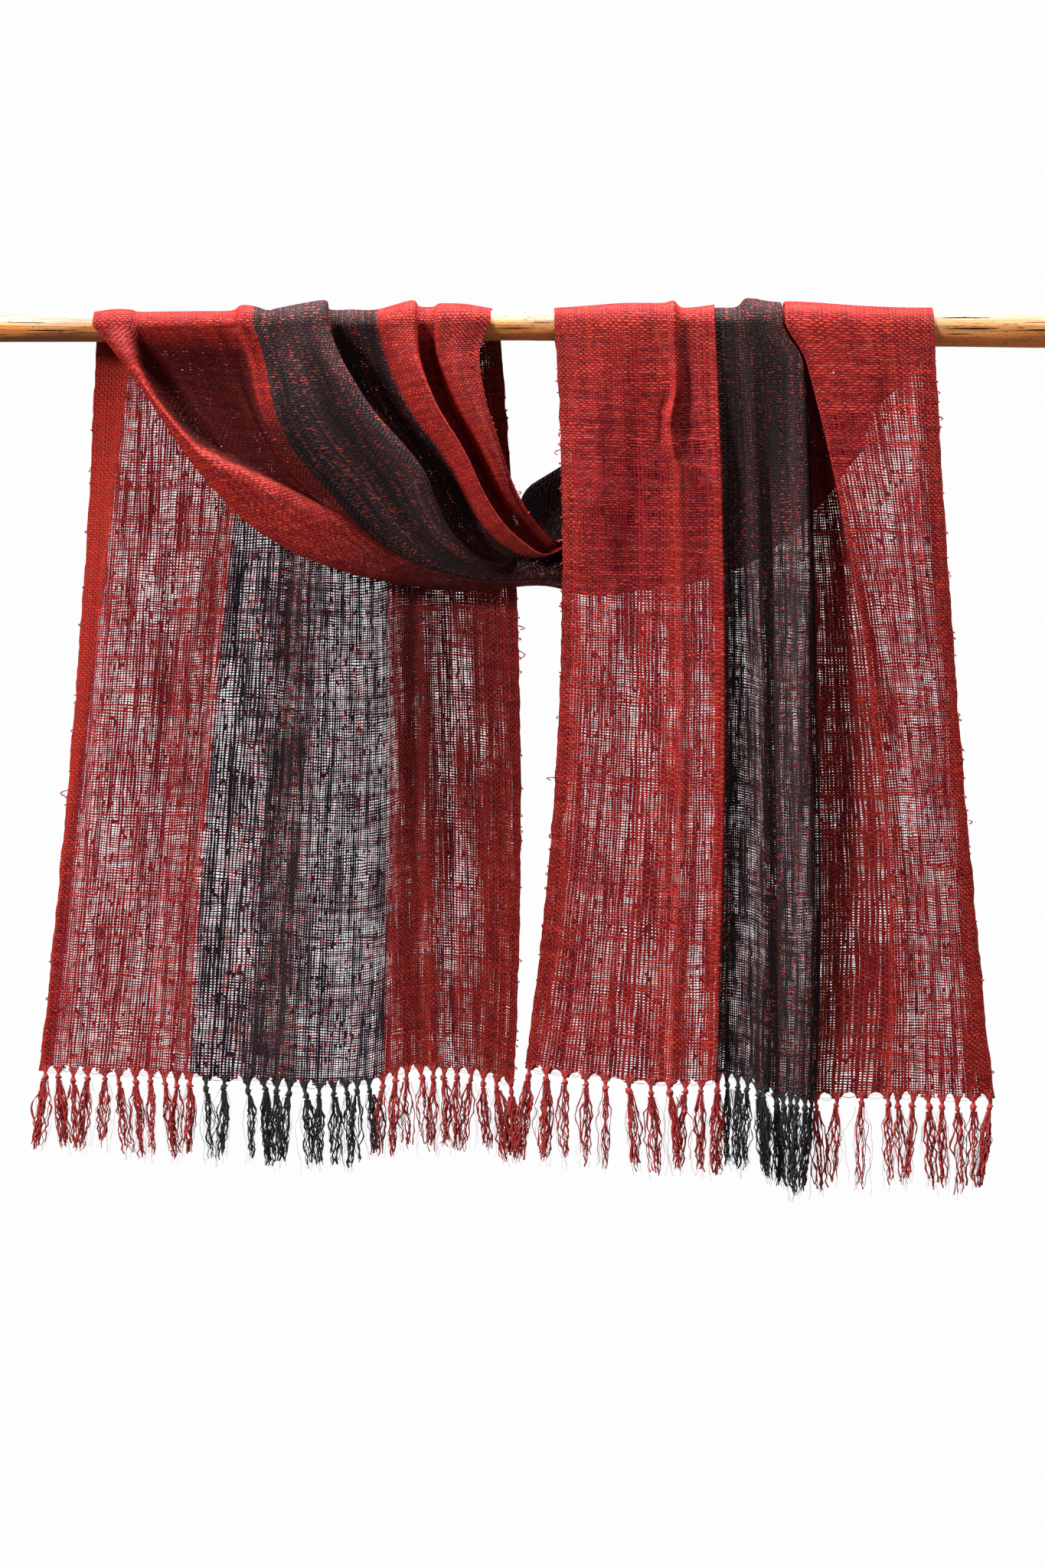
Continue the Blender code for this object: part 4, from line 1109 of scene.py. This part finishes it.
def makeLoose(material):
    chance = random.Random(31)
    curve = newStrands("loose_threads", (material,))

    def clothPoint(across, stretch, place):
        section = readTable(scarf["swagSections"], place) if stretch == "swag" else None
        return scarfPoint(readThread(across), stretch, place, section)

    spots = list(loose["loops"])
    for stretch, across, start, end, count in loose["edges"]:
        for number in range(count):
            spots.append((stretch, across, chance.uniform(start, end), chance.uniform(*loose["reach"])))
    for stretch, across, place, reach in spots:
        root = clothPoint(across, stretch, place)
        outward = root - clothPoint(0.97 if across == 1 else across + 0.03, stretch, place)
        outward.normalize()
        droop = chance.uniform(0.2, 1.2)

        def loop(share):
            side = reach * math.sin(math.pi * share * chance.uniform(0.80, 0.86))
            stray = Vector((chance.uniform(-0.25, 0.25), chance.uniform(-0.4, 0.4), -droop * reach * share))
            return root + outward * (side - 0.6) + stray, loose["radius"] * chance.uniform(0.6, 1.4)

        addStrand(curve, 0, 8, loop)
    for stretch, count in loose["slubs"]:
        for number in range(count):
            across = chance.choice((chance.uniform(0.02, 0.30), chance.uniform(0.70, 0.98)))
            place = chance.uniform(0.05, 0.45 if stretch == "swag" else 0.97)
            half = 0.5 * chance.uniform(*loose["slubLength"]) / scarf["cutWidth"]

            def slub(share):
                point = clothPoint(min(max(across + mix(-half, half, share), 0.002), 0.998), stretch, place)
                point.z += chance.uniform(-0.3, 0.3)
                thickness = 0.25 + math.sin(math.pi * share)
                return point, loose["slubRadius"] * thickness * chance.uniform(0.8, 1.1)

            addStrand(curve, 0, 6, slub)
    return finishStrands("loose_threads", curve)


# Everything is made here

print("stick")
peeledStick = makeStick()
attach(peeledStick, "root")
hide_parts("rod")

print("scarf")
scarfCloth = makeScarf()
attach(scarfCloth, "root")
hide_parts("back_fall", "swag", "front_fall")

print("tassels")
redThread = makeThread("red silk warp ends", *tassels["red"])
blackThread = makeThread("black silk warp ends", *tassels["black"])
backTassels = makeTassels("back_tassels", backPoint, 21, (redThread, blackThread))
frontTassels = makeTassels("front_tassels", frontPoint, 22, (redThread, blackThread))
for piece, node in ((backTassels, "back_fringe"), (frontTassels, "front_fringe")):
    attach(piece, "root")
    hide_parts(node)

print("loose threads")
looseThreads = makeLoose(redThread)
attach(looseThreads, "root")

# Stage, light and camera, in m

studio = {
    "floorPlace": (0, 0.1, -1.45), "floorSize": (1.6, 1.1, 1), "paper": "#F6F5F3",
    "wall": "#FDFDFE", "ambient": 0.12,   # the wall looks white and gives only this share of light
    # name, place, aim, size and power
    "lamps": (
        ("key", (-4, -2.1, 1.7), (0, 0, -0.25), (0.9, 0.9), 290),
        ("top", (0, -0.1, 1.7), (0, 0, 0), (1.6, 0.5), 145),
        ("fill", (1.7, -2.2, -0.2), (0, 0, -0.4), (1, 1.4), 5),
    ),
    "frameHeight": 1.4336, "middleZ": -0.4179, "distance": 3, "sensor": 36,
}

print("stage")
deselectAll()
bpy.ops.mesh.primitive_plane_add(size=1, location=studio["floorPlace"])
floor = bpy.context.object
floor.name = "floor"
floor.scale = studio["floorSize"]
bpy.ops.object.transform_apply(location=True, rotation=True, scale=True)
floorMaterial, floorShader = newMaterial("pale paper floor")[:2]
setInputs(floorShader, {"Base Color": colour(studio["paper"]), "Roughness": 0.8})
floor.data.materials.append(floorMaterial)

world = bpy.data.worlds.new("white studio")
bpy.context.scene.world = world
world.use_nodes = True
ambient = studio["ambient"]
toCamera = addNode(world.node_tree, "LightPath").outputs["Is Camera Ray"]
strength = addNode(world.node_tree, "Math", toCamera, 1 - ambient, ambient, operation="MULTIPLY_ADD")
setInputs(world.node_tree.nodes["Background"], {"Color": colour(studio["wall"]), "Strength": strength})

for name, place, aim, size, power in studio["lamps"]:
    lamp = bpy.data.lights.new(name, "AREA")
    lamp.shape = "RECTANGLE"
    lamp.size, lamp.size_y = size
    lamp.energy = power
    holder = bpy.data.objects.new(name, lamp)
    bpy.context.scene.collection.objects.link(holder)
    holder.location = place
    holder.rotation_euler = (Vector(aim) - Vector(place)).to_track_quat("-Z", "Y").to_euler()

camera = bpy.data.cameras.new("camera")
camera.sensor_width = studio["sensor"]
camera.lens = studio["sensor"] * studio["distance"] / studio["frameHeight"]
viewer = bpy.data.objects.new("camera", camera)
bpy.context.scene.collection.objects.link(viewer)
viewer.location = (0, -studio["distance"], studio["middleZ"])
viewer.rotation_euler = (math.pi / 2, 0, 0)
bpy.context.scene.camera = viewer
bpy.context.scene.view_settings.view_transform = "Standard"
